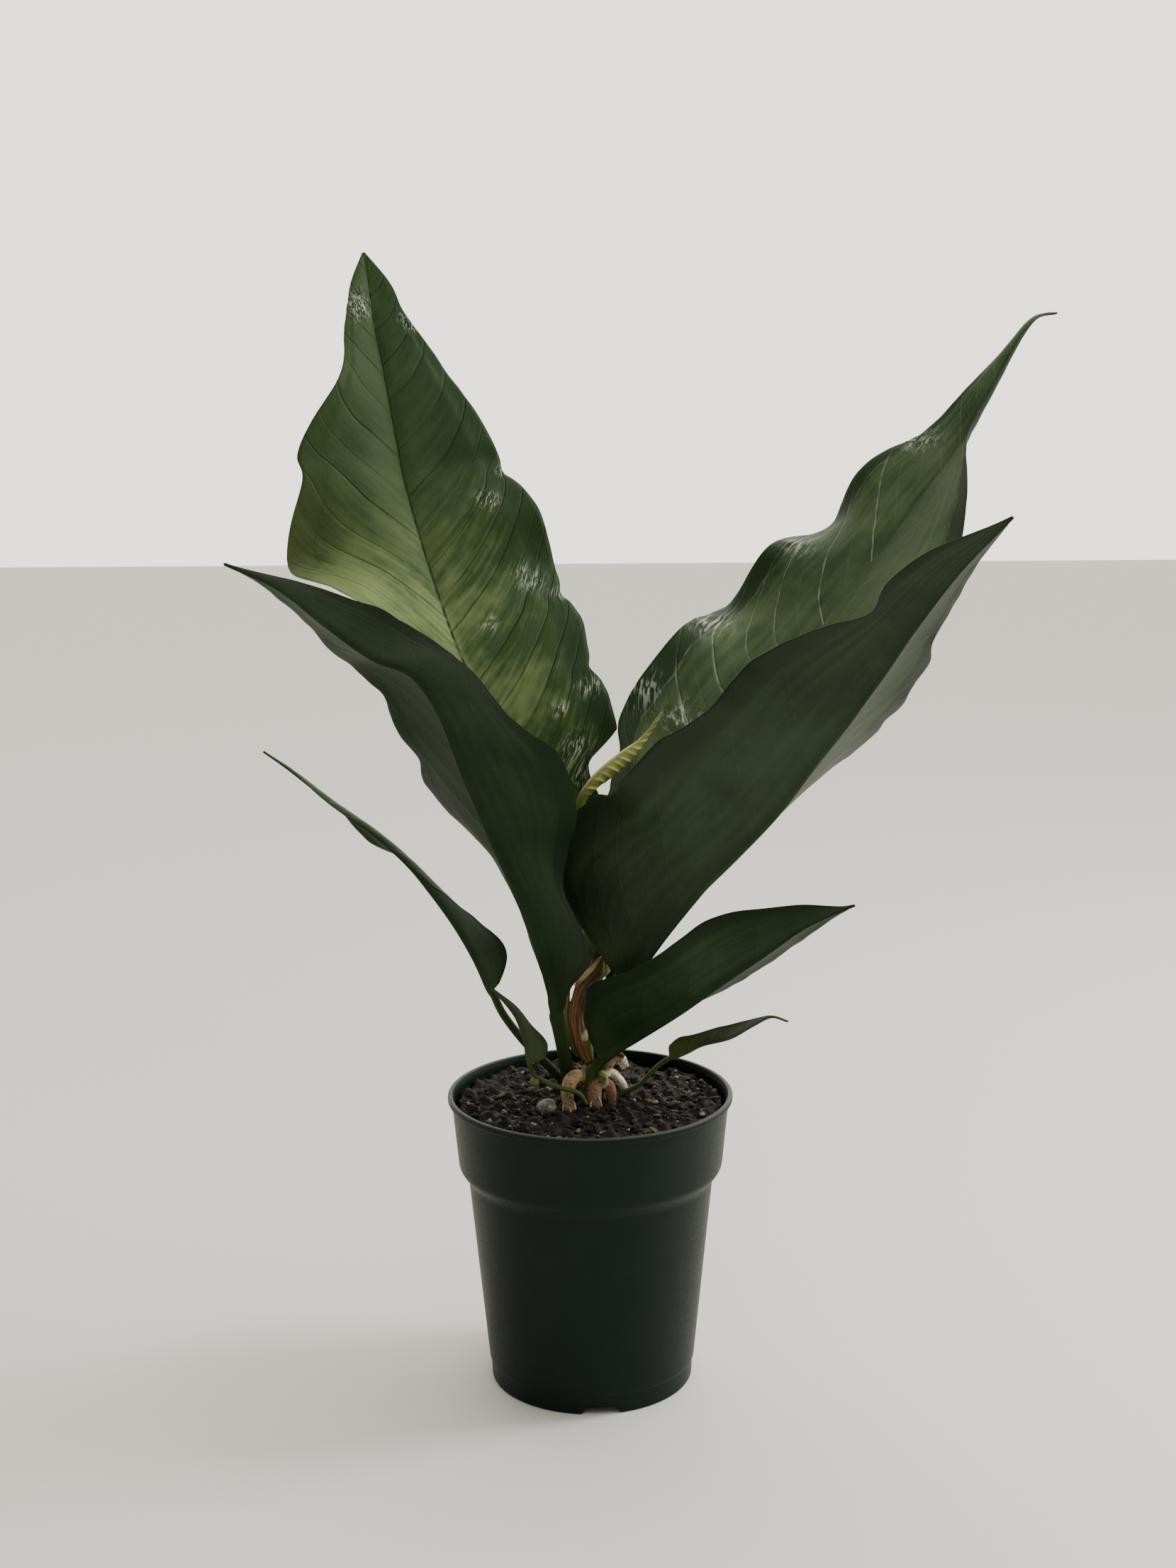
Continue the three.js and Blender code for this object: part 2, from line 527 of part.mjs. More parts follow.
function soilGeometry() {
  const floorTop = FLOOR_RAISE + WALL + GAP;
  const shoulder = POT_HEIGHT - BAND_HEIGHT - LEDGE_DROP - 0.6;
  const edge = innerRadius(SOIL_TOP - 6) - GAP - 0.2;
  const profile = [
    [0, floorTop], [FOOT_RADIUS - 4, floorTop], [innerRadius(FOOT_HEIGHT + 2) - 1, FOOT_HEIGHT + 2],
    [innerRadius(shoulder) - 0.8, shoulder], [innerRadius(shoulder) + 1.2, shoulder + 10],
    [edge, SOIL_TOP - 6],
  ];
  for (let r = edge; r > 1; r -= SOIL_RING_STEP) profile.push([r, SOIL_TOP]);
  profile.push([0, SOIL_TOP]);
  const turned = new THREE.LatheGeometry(profile.map(([r, z]) => new THREE.Vector2(r, z)), SOIL_SECTORS);
  turned.rotateX(Math.PI / 2);
  const place = turned.attributes.position;
  for (let index = 0; index < place.count; index++) {
    if (place.getZ(index) < SOIL_TOP - 1) continue;
    place.setZ(index, soilHeight(place.getX(index), place.getY(index)));
  }
  const cutters = [
    ...crownRods(GAP), lumpGeometry(GAP), rod(NEW_LEAF, 8, 1, GAP),
    ...Object.values(LEAVES).map((leaf) => stalkGeometry(leaf, GAP)),
  ];
  return toGeometry(cutAway(join([toSolid(turned), ...grains()]), cutters.map(toSolid)));
}

// The round swelling on the bend of the small left leaf's stalk
const SWELLING_PLACE = [-31.5, -25.2, 186.3];
const SWELLING_RADIUS = 2.6;

function withSwelling(leaf) {
  const swelling = new THREE.IcosahedronGeometry(SWELLING_RADIUS, 1);
  swelling.translate(...SWELLING_PLACE);
  return toGeometry(join([leafGeometry(leaf), swelling].map(toSolid)));
}

addPiece('pot', potGeometry(), COLOURS.pot, 0.45);
addPiece('potting_mix', soilGeometry(), COLOURS.soil, 0.95);
addPiece('perlite_lump', lumpGeometry(0), COLOURS.perlite, 0.9);
addPiece('crown_with_roots', crownGeometry(), COLOURS.crown, 0.7);
for (const [name, sheath] of Object.entries(SHEATHS)) {
  addPiece(name, sheathGeometry(sheath.rows), sheath.colour, 0.7);
}
addPiece('new_leaf', rod(NEW_LEAF, 8, 2), COLOURS.young, 0.5);
for (const [name, leaf] of Object.entries(LEAVES)) {
  addPiece(name, leaf.swollen ? withSwelling(leaf) : leafGeometry(leaf), leaf.colour, 0.4);
}

export default group;
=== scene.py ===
# %% [markdown]
# # A waterdragon anthurium in its nursery pot
#
# The solid model of the plant is already there, in millimetres turned to metres. It says where
# each piece stands and how big it is. This script dresses it: every piece is made again with the
# fine shape and the finish of the real one, in the same place.

# %% Load the solid model
import json
import math
import random
from types import SimpleNamespace

import bmesh
import bpy
import numpy as np
from mathutils import Matrix, Vector, noise

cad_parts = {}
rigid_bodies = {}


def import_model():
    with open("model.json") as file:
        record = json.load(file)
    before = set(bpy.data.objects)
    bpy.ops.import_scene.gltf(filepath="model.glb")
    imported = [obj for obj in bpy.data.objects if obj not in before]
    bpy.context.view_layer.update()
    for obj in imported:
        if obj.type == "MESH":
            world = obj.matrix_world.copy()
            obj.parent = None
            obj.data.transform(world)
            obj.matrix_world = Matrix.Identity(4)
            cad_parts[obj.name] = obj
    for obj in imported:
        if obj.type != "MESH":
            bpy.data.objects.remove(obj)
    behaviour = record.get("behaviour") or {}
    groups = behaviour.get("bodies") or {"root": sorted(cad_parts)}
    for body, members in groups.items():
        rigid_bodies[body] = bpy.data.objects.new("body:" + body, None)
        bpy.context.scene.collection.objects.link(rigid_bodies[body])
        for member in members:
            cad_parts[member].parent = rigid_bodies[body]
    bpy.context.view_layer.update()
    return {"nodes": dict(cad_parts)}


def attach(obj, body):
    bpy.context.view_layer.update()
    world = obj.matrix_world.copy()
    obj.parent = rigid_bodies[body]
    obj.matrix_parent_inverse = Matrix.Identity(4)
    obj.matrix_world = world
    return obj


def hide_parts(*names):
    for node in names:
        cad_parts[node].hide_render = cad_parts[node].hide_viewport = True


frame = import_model()
MM = 0.001

# %% [markdown]
# ## The view
#
# The camera stands where the photograph was taken from, 1.2 m in front of the pot and as high
# as the upper leaves, looking down by 10.5 degrees. The lens is given by its length in pixels of
# the photograph's frame, and is turned to the sensor's millimetres.

# %% Camera
PHOTO_HEIGHT = 2212
LENS_PIXELS = 3000
CAMERA_PLACE = Vector((-0.09, -1181.2, 571.8)) * MM
CAMERA_PITCH = math.radians(10.47)
CAMERA_ROLL = math.radians(-0.38)

ahead = Vector((0, math.cos(CAMERA_PITCH), -math.sin(CAMERA_PITCH)))
side = Vector((1, 0, 0))
above = side.cross(ahead)
right = math.cos(CAMERA_ROLL) * side + math.sin(CAMERA_ROLL) * above
top = math.cos(CAMERA_ROLL) * above - math.sin(CAMERA_ROLL) * side

lens = bpy.data.cameras.new("photo_view")
lens.sensor_fit = "VERTICAL"
lens.sensor_height = 36
lens.lens = lens.sensor_height * LENS_PIXELS / PHOTO_HEIGHT
camera = bpy.data.objects.new("photo_view", lens)
camera.matrix_world = Matrix.Translation(CAMERA_PLACE) @ Matrix((right, top, -ahead)).transposed().to_4x4()
bpy.context.collection.objects.link(camera)
bpy.context.scene.camera = camera
print("camera lens:", round(lens.lens, 1), "mm")

# %% [markdown]
# ## Colours and nodes
#
# Colours are read off as sRGB hex values, the way a colour picker gives them, and Blender's
# shaders want linear light, so one function turns the one into the other. A second one adds a
# node and fills or links its inputs. A third starts a material, with every value that is even all
# over set on the shader itself. Every material below is built with these three.

# %% Helpers for colours and nodes
def linear(hex_colour):
    """An sRGB colour such as "#808080" as linear red, green, blue and alpha."""
    shares = [int(hex_colour[i:i + 2], 16) / 255 for i in (1, 3, 5)]
    return [s / 12.92 if s <= 0.04045 else ((s + 0.055) / 1.055) ** 2.4 for s in shares] + [1.0]


def add(tree, kind, inputs=None, **settings):
    """Adds one node. An input is given a number, a colour, or another node's output."""
    new = tree.nodes.new(kind)
    for name, value in settings.items():
        setattr(new, name, value)
    for name, value in (inputs or {}).items():
        if isinstance(value, bpy.types.NodeSocket):
            tree.links.new(value, new.inputs[name])
        else:
            new.inputs[name].default_value = value
    return new


def start_material(name, **sockets):
    """A new material with one Principled shader, its even values set on the shader itself."""
    material = bpy.data.materials.new(name)
    material.use_nodes = True
    tree = material.node_tree
    shader = tree.nodes["Principled BSDF"]
    for socket, value in sockets.items():
        shader.inputs[socket.replace("_", " ")].default_value = value
    return material, tree, shader


print("middle grey in linear light:", [round(v, 3) for v in linear("#808080")])

# %% [markdown]
# ## Floor and light
#
# A plain pale floor, a pale sky and two soft boxes. In the photograph the light comes from the
# right and from behind: it lies on the upper faces of the leaves and leaves their undersides nearly
# black. So the sky is bright behind the plant and to its right and dim elsewhere, the strong box
# hangs on the right, and the one in front is weak.

# %% Floor, sky and soft boxes
FLOOR_SIZE = 12.0
BRIGHT_WAY = (0.5, 0.85, 0.05)
SKY_BRIGHT = 2.6
SKY_DIM = 0.42
LEAVES_MIDDLE = Vector((0, 0, 0.3))
floor_mesh = bpy.data.meshes.new("floor")
half = FLOOR_SIZE / 2
floor_mesh.from_pydata([(-half, -half, 0), (half, -half, 0), (half, half, 0), (-half, half, 0)], [], [(0, 1, 2, 3)])
floor = bpy.data.objects.new("floor", floor_mesh)
bpy.context.collection.objects.link(floor)
floor_finish, _, _ = start_material("matt_painted_floor", Base_Color=linear("#f0ede6"), Roughness=0.85)
floor_mesh.materials.append(floor_finish)

world = bpy.data.worlds.new("pale_room")
world.use_nodes = True
backdrop = world.node_tree.nodes["Background"]
backdrop.inputs["Color"].default_value = linear("#f6f2e8")
way = add(world.node_tree, "ShaderNodeTexCoord").outputs["Generated"]
towards = add(world.node_tree, "ShaderNodeVectorMath", {0: way, 1: BRIGHT_WAY}, operation="DOT_PRODUCT")
brightness = add(world.node_tree, "ShaderNodeMapRange", {"Value": towards.outputs["Value"], "From Min": -0.15,
                 "From Max": 0.55, "To Min": SKY_DIM, "To Max": SKY_BRIGHT}, interpolation_type="SMOOTHSTEP")
world.node_tree.links.new(brightness.outputs[0], backdrop.inputs["Strength"])
bpy.context.scene.world = world


def soft_box(name, place, size, power):
    """A square area light that faces the middle of the leaves."""
    light = bpy.data.lights.new(name, "AREA")
    light.size = size
    light.energy = power
    lamp = bpy.data.objects.new(name, light)
    lamp.location = place
    lamp.rotation_euler = (LEAVES_MIDDLE - Vector(place)).to_track_quat("-Z", "Y").to_euler()
    bpy.context.collection.objects.link(lamp)


soft_box("soft_box_right", place=(1.5, 0.3, 1.4), size=0.5, power=22)
soft_box("soft_box_front", place=(0.3, -1.3, 2.1), size=1.2, power=8)
print("floor and two soft boxes")

# %% [markdown]
# ## Rows read on a smooth curve
#
# A leaf, a root or a sheath is described by a few rows of numbers from its foot to its tip. Reading
# the rows at many places between them, on a curve that runs through each row, gives a smooth
# shape from few numbers. A skin is then laid over rings of points, one ring for each place.

# %% Helpers for rows and rings
SAMPLES_PER_ROW = 40


def between(rows, places):
    """Rows of numbers read at places between them, on a smooth curve through the rows."""
    rows = np.array(rows, float)
    padded = np.vstack([2 * rows[0] - rows[1], rows, 2 * rows[-1] - rows[-2]])
    row = np.minimum(places.astype(int), len(rows) - 2)
    t = (places - row)[:, None]
    p, q, r, s = (padded[row + k] for k in range(4))
    return q + 0.5 * t * (r - p + t * (2 * p - 5 * q + 4 * r - s + t * (3 * (q - r) + s - p)))


def smooth_step(values, low, high):
    """0 up to low, 1 from high on, and a soft slope between them."""
    t = np.clip((values - low) / (high - low), 0, 1)
    return t * t * (3 - 2 * t)


def even_places(rows, columns, step):
    """Places along rows, step millimetres apart on the curve that the named columns draw."""
    rough = np.linspace(0, len(rows) - 1, SAMPLES_PER_ROW * len(rows))
    track = between(rows, rough)[:, columns]
    run = np.concatenate([[0], np.cumsum(np.linalg.norm(np.diff(track, axis=0), axis=1))])
    count = max(int(run[-1] / step), 4)
    return np.interp(np.linspace(0, run[-1], count + 1), run, rough)


def ring_faces(rings, count, first=0):
    """Quads of a skin over rings of count points each, closed at both ends."""
    ring, point = np.meshgrid(np.arange(rings - 1), np.arange(count), indexing="ij")
    a = first + ring * count + point
    b = first + ring * count + (point + 1) % count
    quads = np.stack([a, b, b + count, a + count], axis=-1).reshape(-1, 4).tolist()
    foot = [first + i for i in range(count)]
    return quads + [foot[::-1], [first + (rings - 1) * count + i for i in range(count)]]


print("a skin over three rings of four points has", len(ring_faces(3, 4)), "faces")

# %% Helpers for pieces
def place_piece(name, points, faces, finish, slot, *nodes):
    """Makes a smooth mesh object from points in millimetres and stands it in for its solids."""
    mesh = bpy.data.meshes.new(name)
    mesh.from_pydata((np.asarray(points) * MM).tolist(), [], faces)
    mesh.polygons.foreach_set("use_smooth", [True] * len(mesh.polygons))
    mesh.materials.append(finish)
    mesh.update()
    piece = bpy.data.objects.new(name, mesh)
    bpy.context.collection.objects.link(piece)
    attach(piece, "root")
    if nodes:
        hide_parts(*nodes)
    print(name, len(mesh.polygons), "faces")
    return piece


def mark(piece, name, values):
    """Stores one number for each point of a piece, for its material to read."""
    layer = piece.data.attributes.new(name, "FLOAT", "POINT")
    layer.data.foreach_set("value", np.asarray(values, float).ravel())


def tint_points(piece, colours):
    """Stores one colour for each point of a piece, for its material to read."""
    layer = piece.data.attributes.new("tint", "FLOAT_COLOR", "POINT")
    layer.data.foreach_set("color", np.asarray(colours, float).ravel())


print("solids to stand in for:", ", ".join(sorted(frame["nodes"])))

# %% [markdown]
# ## The pot
#
# A nursery pot is blown or moulded from thin polypropylene. Its wall is a body of revolution: a
# stepped foot, a tapering body, a ledge and a wider band below a rolled lip, which let empty pots
# stack. So the profile is turned round the axis, with each corner rounded as a mould rounds it.
# The three drain notches are made by lifting the foot ring's lower edge.

# %% Pot profile
POT_SECTORS = 240
POT_PROFILE = [  # radius, height, rounding of the corner
    (0, 0, 0), (34, 0, 0.8), (38, 4.5, 1.2), (54.8, 4.5, 0.8), (55.8, 0, 0.5), (58.2, 0, 0.3), (59, 0.8, 0.4),
    (59.5, 11.4, 0.5), (60.4, 12.6, 0.6), (71.2, 123, 2.5), (75, 127.6, 1.5), (76.6, 130.4, 2), (80.2, 168.3, 0.6),
    (82.5, 169.3, 0.6), (82.5, 171.7, 0.4), (81.7, 172.5, 0.4), (79.9, 172.5, 0.6), (78.7, 169.3, 1),
    (75.1, 129, 2), (69.7, 123, 2), (58.9, 12, 1), (57.5, 7, 0.6), (56.5, 6, 0.6), (37, 6, 1), (33, 1.5, 1),
    (0, 1.5, 0)]
MOST_OF_A_SIDE = 0.45


def round_corners(profile, steps=4):
    """The profile with each corner replaced by a short curve, whatever its sides leave room for."""
    rounded = [np.array(profile[0][:2], float)]
    for before, corner, after in zip(profile, profile[1:], profile[2:]):
        middle = np.array(corner[:2], float)
        back, on = np.array(before[:2]) - middle, np.array(after[:2]) - middle
        start = middle + back * min(corner[2] / np.linalg.norm(back), MOST_OF_A_SIDE)
        end = middle + on * min(corner[2] / np.linalg.norm(on), MOST_OF_A_SIDE)
        for t in np.linspace(0, 1, steps + 1):
            rounded.append(start * (1 - t) ** 2 + middle * 2 * t * (1 - t) + end * t ** 2)
    return np.array(rounded + [np.array(profile[-1][:2], float)])


def turned(profile, sectors):
    """Points and faces of a profile of radius and height turned round the upright axis."""
    turn = np.arange(sectors) * 2 * np.pi / sectors
    ring = np.stack([np.cos(turn), np.sin(turn)], axis=1)
    rings = [np.column_stack([ring * r, np.full(sectors, z)]) for r, z in profile[1:-1]]
    points = np.vstack([[0, 0, profile[0][1]], *rings, [0, 0, profile[-1][1]]])
    quads = ring_faces(len(rings), sectors, 1)[:-2]
    last = len(points) - 1
    fans = [[0, 1 + (i + 1) % sectors, 1 + i] for i in range(sectors)]
    tops = [[last, last - sectors + i, last - sectors + (i + 1) % sectors] for i in range(sectors)]
    return points, [face[::-1] for face in quads] + fans + tops


print("rounded pot profile:", len(round_corners(POT_PROFILE)), "points")

# %% Pot plastic
DUST_SIZE = 24
SCUFF_SIZE = 1.6  # real scuffs are a few tenths of a millimetre; these are coarse enough to show
PALER_LIP_TOP = (171.6, 172.4)


def plastic_finish():
    """Moulded polypropylene, dark green: a satin sheen that handling has scuffed, clouds of dust, and
    the top of the lip paler."""
    material, tree, shader = start_material("nursery_pot_plastic", IOR=1.49, Specular_IOR_Level=0.11)
    place = add(tree, "ShaderNodeTexCoord").outputs["Object"]
    height = add(tree, "ShaderNodeSeparateXYZ", {"Vector": place}).outputs["Z"]
    cloud = add(tree, "ShaderNodeTexNoise", {"Vector": place, "Scale": 1 / (DUST_SIZE * MM), "Detail": 5.0})
    scuff = add(tree, "ShaderNodeTexNoise", {"Vector": place, "Scale": 1 / (SCUFF_SIZE * MM), "Detail": 3.0})
    dust = add(tree, "ShaderNodeMapRange", {"Value": cloud.outputs["Fac"], "From Min": 0.45, "From Max": 0.8,
               "To Min": 0.0, "To Max": 0.16})
    body = add(tree, "ShaderNodeMix", {"Factor": dust.outputs[0], 6: linear("#0b1a14"), 7: linear("#1f2a24")},
               data_type="RGBA")
    lip = add(tree, "ShaderNodeMapRange", {"Value": height, "From Min": PALER_LIP_TOP[0] * MM,
              "From Max": PALER_LIP_TOP[1] * MM, "To Min": 0.0, "To Max": 0.4})
    colour = add(tree, "ShaderNodeMix", {"Factor": lip.outputs[0], 6: body.outputs[2], 7: linear("#6b736c")},
                 data_type="RGBA")
    tree.links.new(colour.outputs[2], shader.inputs["Base Color"])
    roughness = add(tree, "ShaderNodeMapRange", {"Value": scuff.outputs["Fac"], "From Min": 0.3, "From Max": 0.7,
                    "To Min": 0.4, "To Max": 0.52})
    tree.links.new(roughness.outputs[0], shader.inputs["Roughness"])
    bump = add(tree, "ShaderNodeBump", {"Height": scuff.outputs["Fac"], "Strength": 0.08, "Distance": 0.2 * MM})
    tree.links.new(bump.outputs["Normal"], shader.inputs["Normal"])
    return material


plastic = plastic_finish()
print(plastic.name, "has", len(plastic.node_tree.nodes), "nodes")

# %% Build the pot
NOTCHES = 3
NOTCH_HALF_WIDTH = 11.5
NOTCH_SLOPE = 3
NOTCH_HEIGHT = 4.5
NOTCH_TURN = math.radians(-85)
FOOT_RING = 54.5
points, faces = turned(round_corners(POT_PROFILE), POT_SECTORS)
turn = np.arctan2(points[:, 1], points[:, 0])
from_axis = np.hypot(points[:, 0], points[:, 1])
spacing = 2 * math.pi / NOTCHES
off_notch = np.abs((turn - NOTCH_TURN + spacing / 2) % spacing - spacing / 2) * from_axis
on_foot = (from_axis > FOOT_RING) & (points[:, 2] < NOTCH_HEIGHT)
ceiling = NOTCH_HEIGHT * np.clip((NOTCH_HALF_WIDTH - off_notch) / NOTCH_SLOPE, 0, 1)
points[on_foot, 2] = np.maximum(points[on_foot, 2], ceiling[on_foot])
place_piece("pot_finished", points, faces, plastic, "pot_plastic", "pot")

# %% [markdown]
# ## The potting mix
#
# The mix is peat and composted bark with perlite. It is a heap of crumbs from a third of a
# millimetre to several millimetres, so a smooth surface with a picture on it would look flat at
# the rim. Its top follows the solid's gentle relief, roughened by cells of two sizes, and loose
# crumbs, bark chips and fibres are strewn over it. They are kept off the crown and its roots. A
# crumb is a dented ball. A fibre is a thin rod, and rods make the roots too.

# %% Relief and crumbs
random.seed(7)
SOIL_TOP = 164.5
SOIL_EDGE = 76.0
LUMPS = 1.3
BANK = dict(rise=2.2, radius=82.5)
HOLLOW = dict(x=36, y=58, deep=5, spread=60)


def soil_height(x, y):
    """The relief of the mix: low uneven mounds, banked at the wall and hollow at the back right."""
    # Three sets of waves, from 7 to 23 mm long, that cross each other
    lumps = (np.sin(x * 0.31 + 1.3) * np.cos(y * 0.27 - 0.6) + np.sin(x * 0.17 - y * 0.41 + 2.1)
             + 0.6 * np.sin(x * 0.63 + y * 0.55))
    bank = BANK["rise"] * (np.hypot(x, y) / BANK["radius"]) ** 4
    hollow = HOLLOW["deep"] * np.exp(-((x - HOLLOW["x"]) ** 2 + (y - HOLLOW["y"]) ** 2) / HOLLOW["spread"])
    return SOIL_TOP + LUMPS * lumps + bank - hollow


def ball(level):
    """Points and faces of a ball of radius 1, made of even triangles."""
    form = bmesh.new()
    bmesh.ops.create_icosphere(form, subdivisions=level, radius=1)
    points = np.array([vertex.co[:] for vertex in form.verts])
    faces = [[vertex.index for vertex in face.verts] for face in form.faces]
    form.free()
    return points, faces


BALLS = {level: ball(level) for level in (2, 3, 4)}
DENTS_PER_RADIUS = (1.7, 4)
SMALL_DENTS = 0.4


def crumb(centre, size, stretch, level, rough):
    """One irregular crumb: a ball stretched, turned at random and dented by noise."""
    points, faces = BALLS[level]
    seed = Vector((random.uniform(0, 90), random.uniform(0, 90), random.uniform(0, 90)))
    wide, small = DENTS_PER_RADIUS
    dents = np.array([noise.noise(Vector(point) * wide + seed)
                      + SMALL_DENTS * noise.noise(Vector(point) * small + seed) for point in points])
    shaped = points * (1 + rough * dents)[:, None] * np.array(stretch)
    spin = np.array(Matrix.Rotation(random.uniform(0, 6.28), 3, "Z")
                    @ Matrix.Rotation(random.uniform(-0.5, 0.5), 3, "X"))
    return shaped @ spin.T * size + np.array(centre), faces


print("ball faces:", {level: len(form[1]) for level, form in BALLS.items()})

# %% Rods
CAP_RINGS = 5
CAP_LENGTH = 0.8
CAP_TIP = 0.05
DENTS_PER_MM = (0.35, 1.3)
MARKS_PER_MM = 1.6
FIRST_SIDE = [0.3, 0.9, 0.2]  # any direction in which no rod starts


def tube(rows, sides, step, rough=0.0, ring_marks=0.0, rounded=True, seed=0):
    """A round rod through rows of x, y, z and radius, with noise and ring marks on its skin."""
    track = between(rows, even_places(rows, [0, 1, 2], step))
    ahead = np.gradient(track[:, :3], axis=0)
    ahead /= np.linalg.norm(ahead, axis=1)[:, None]
    if rounded:
        quarter = np.linspace(0, np.pi / 2, CAP_RINGS + 1)[1:]
        caps = []
        for end, sign in ((0, -1), (-1, 1)):
            cap = np.array([[*(track[end, :3] + sign * ahead[end] * track[end, 3] * CAP_LENGTH * math.sin(q)),
                             max(track[end, 3] * math.cos(q), CAP_TIP)] for q in quarter])
            caps.append(cap[::sign])
        track = np.vstack([caps[0], track, caps[1]])
        ahead = np.vstack([np.repeat(ahead[:1], CAP_RINGS, axis=0), ahead,
                           np.repeat(ahead[-1:], CAP_RINGS, axis=0)])
    side = np.cross(ahead[0], FIRST_SIDE)
    points = []
    for index, (row, way) in enumerate(zip(track, ahead)):
        side = side - way * np.dot(side, way)
        side /= np.linalg.norm(side)
        other = np.cross(way, side)
        for turn in np.arange(sides) * 2 * np.pi / sides:
            out = side * math.cos(turn) + other * math.sin(turn)
            bare = row[:3] + out * row[3]
            dent = noise.noise(Vector(bare) * DENTS_PER_MM[0] + Vector((seed, 0, 0)))
            dent += 0.5 * noise.noise(Vector(bare) * DENTS_PER_MM[1])
            ring_mark = ring_marks * noise.noise(Vector((index * step * MARKS_PER_MM, seed, 0.4 * math.cos(turn))))
            points.append(bare + out * row[3] * (rough * dent + ring_mark))
    return np.array(points), ring_faces(len(track), sides)


def gather(parts):
    """Joins lists of points and faces into one, and keeps a number for each part's points."""
    points, faces, numbers = [], [], []
    start = 0
    for part_points, part_faces, number in parts:
        points.append(part_points)
        faces += [[start + corner for corner in face] for face in part_faces]
        numbers += [number] * len(part_points)
        start += len(part_points)
    return np.vstack(points), faces, numbers


print("a rod 10 mm long has", len(tube([(0, 0, 0, 1), (0, 0, 10, 1)], sides=8, step=1)[1]), "faces")

# %% [markdown]
# ## Crown, roots and young shoots
#
# Below the leaves sits a short thick stem. Fat roots come straight out of it above the mix and
# bend down into it: that is how these plants hold on to trees. Each root is a rod whose rings are
# dented by noise. The rim of the cut stub, and the dark scar and the pale end of one root, are
# short rods too. All rods are melted into one skin on a fine grid, so a root meets the stem in a
# fillet, as it does in life. A tint for each point goes with the nearest rod. The thin fibres on
# the roots stay out of the grid, which would swallow them.

# %% Crown tables
CROWN = {  # colour, and rows of x, y, z and radius
    "stem": ("#3f3020", [(2, 14, 118, 5), (2, 14, 138, 7), (2, 13, 156, 8), (2.5, 12.5, 166, 7.5), (3, 12, 174, 6),
                         (3.5, 11, 180, 4.5)]),
    "tan_root": ("#b0976b", [(-2.5, 9.5, 177, 3.4), (-8, 2.5, 180.5, 3.9), (-11.5, -3, 179, 4.2), (-13, -7, 174, 3.9),
                             (-12.5, -9.5, 167, 3.4), (-11.5, -10.5, 160, 2.6)]),
    "brown_root": ("#8a6a55", [(3, 9, 176, 4), (2.5, 2, 172, 4.3), (2.3, -2, 166, 4.2), (2.5, -5, 157, 3.4)]),
    "red_root": ("#86604f", [(4, 8, 172, 3.4), (9, 6.5, 175, 3.3), (12, 4.5, 171, 3.2), (12.5, 3, 163, 2.6)]),
    "white_root": ("#f6eed2", [(5, 14, 174, 3), (9, 15.5, 177.5, 2.7), (12.5, 17.5, 177.5, 2.8),
                               (16, 20, 173.5, 3.1), (19, 22.5, 168, 2.8), (21.5, 24, 162, 1.8)]),
    "pale_tip": ("#b39c79", [(8, 15.5, 178, 2.4), (13.2, 18, 185, 2.6), (15.5, 19.2, 187.3, 2.9),
                             (17.6, 20.2, 185.8, 3.1)]),
    "bud": ("#8f8668", [(-1, 11, 180, 2), (-3.5, 8, 184, 1.7)]),
    "cut_stub": ("#7a8440", [(6, 9, 170, 3), (6.9, 5.6, 176, 3), (7.2, 3.4, 181.5, 2.7)]),
    "stub_rim": ("#cdc6a0", [(8.2, 2.6, 173, 0.6), (9.3, 2.8, 175.5, 0.7), (9.6, 2.4, 178.5, 0.7), (8.8, 1.6, 182, 0.7),
                             (7.2, 0.9, 183.6, 0.6)]),
    "tip_scar": ("#4f241e", [(14.3, 16.8, 189.6, 1.2), (16.8, 17, 189.6, 1.6), (19.4, 17.6, 187.8, 1.2)]),
    "tip_end": ("#f6eed2", [(18.5, 20.6, 184.5, 3.2), (20.2, 21.1, 181, 2.7)]),
}
ROOT_FIBRES = [
    [(-12.5, -12, 168, 0.5), (-11.5, -14, 165.5, 0.4), (-11, -15, 162.5, 0.3)],
    [(5, -4, 170, 0.5), (6.2, -6.5, 167.5, 0.4), (6.8, -7.5, 164, 0.3)],
    [(-15, -11.5, 169, 0.4), (-15.8, -13, 166.5, 0.35), (-15.5, -14, 163.5, 0.25)],
    [(0.5, -5.5, 168, 0.4), (0.2, -8, 166, 0.35), (0.6, -9, 163, 0.25)],
    [(-9.5, -12, 170, 0.6), (-8.6, -13.5, 167, 0.5), (-8.8, -14.2, 163.5, 0.4)],
]
print("rods in the crown:", len(CROWN), "and fibres:", len(ROOT_FIBRES))

# %% Crown skin
def melted(points, faces, grid):
    """Closed skins joined to one on a grid of the given size."""
    mesh = bpy.data.meshes.new("loose")
    mesh.from_pydata((points * MM).tolist(), [], faces)
    loose = bpy.data.objects.new("loose", mesh)
    bpy.context.collection.objects.link(loose)
    remesh = loose.modifiers.new("melt", "REMESH")
    remesh.mode = "VOXEL"
    remesh.voxel_size = grid * MM
    soft = loose.modifiers.new("soft", "SMOOTH")
    soft.iterations = 2
    skin = loose.evaluated_get(bpy.context.evaluated_depsgraph_get()).to_mesh()
    new_points = np.array([vertex.co[:] for vertex in skin.vertices]) / MM
    new_faces = [list(face.vertices) for face in skin.polygons]
    bpy.data.objects.remove(loose)
    bpy.data.meshes.remove(mesh)
    return new_points, new_faces


SPECK_SIZE = 1.5
STAIN_SIZE = 6


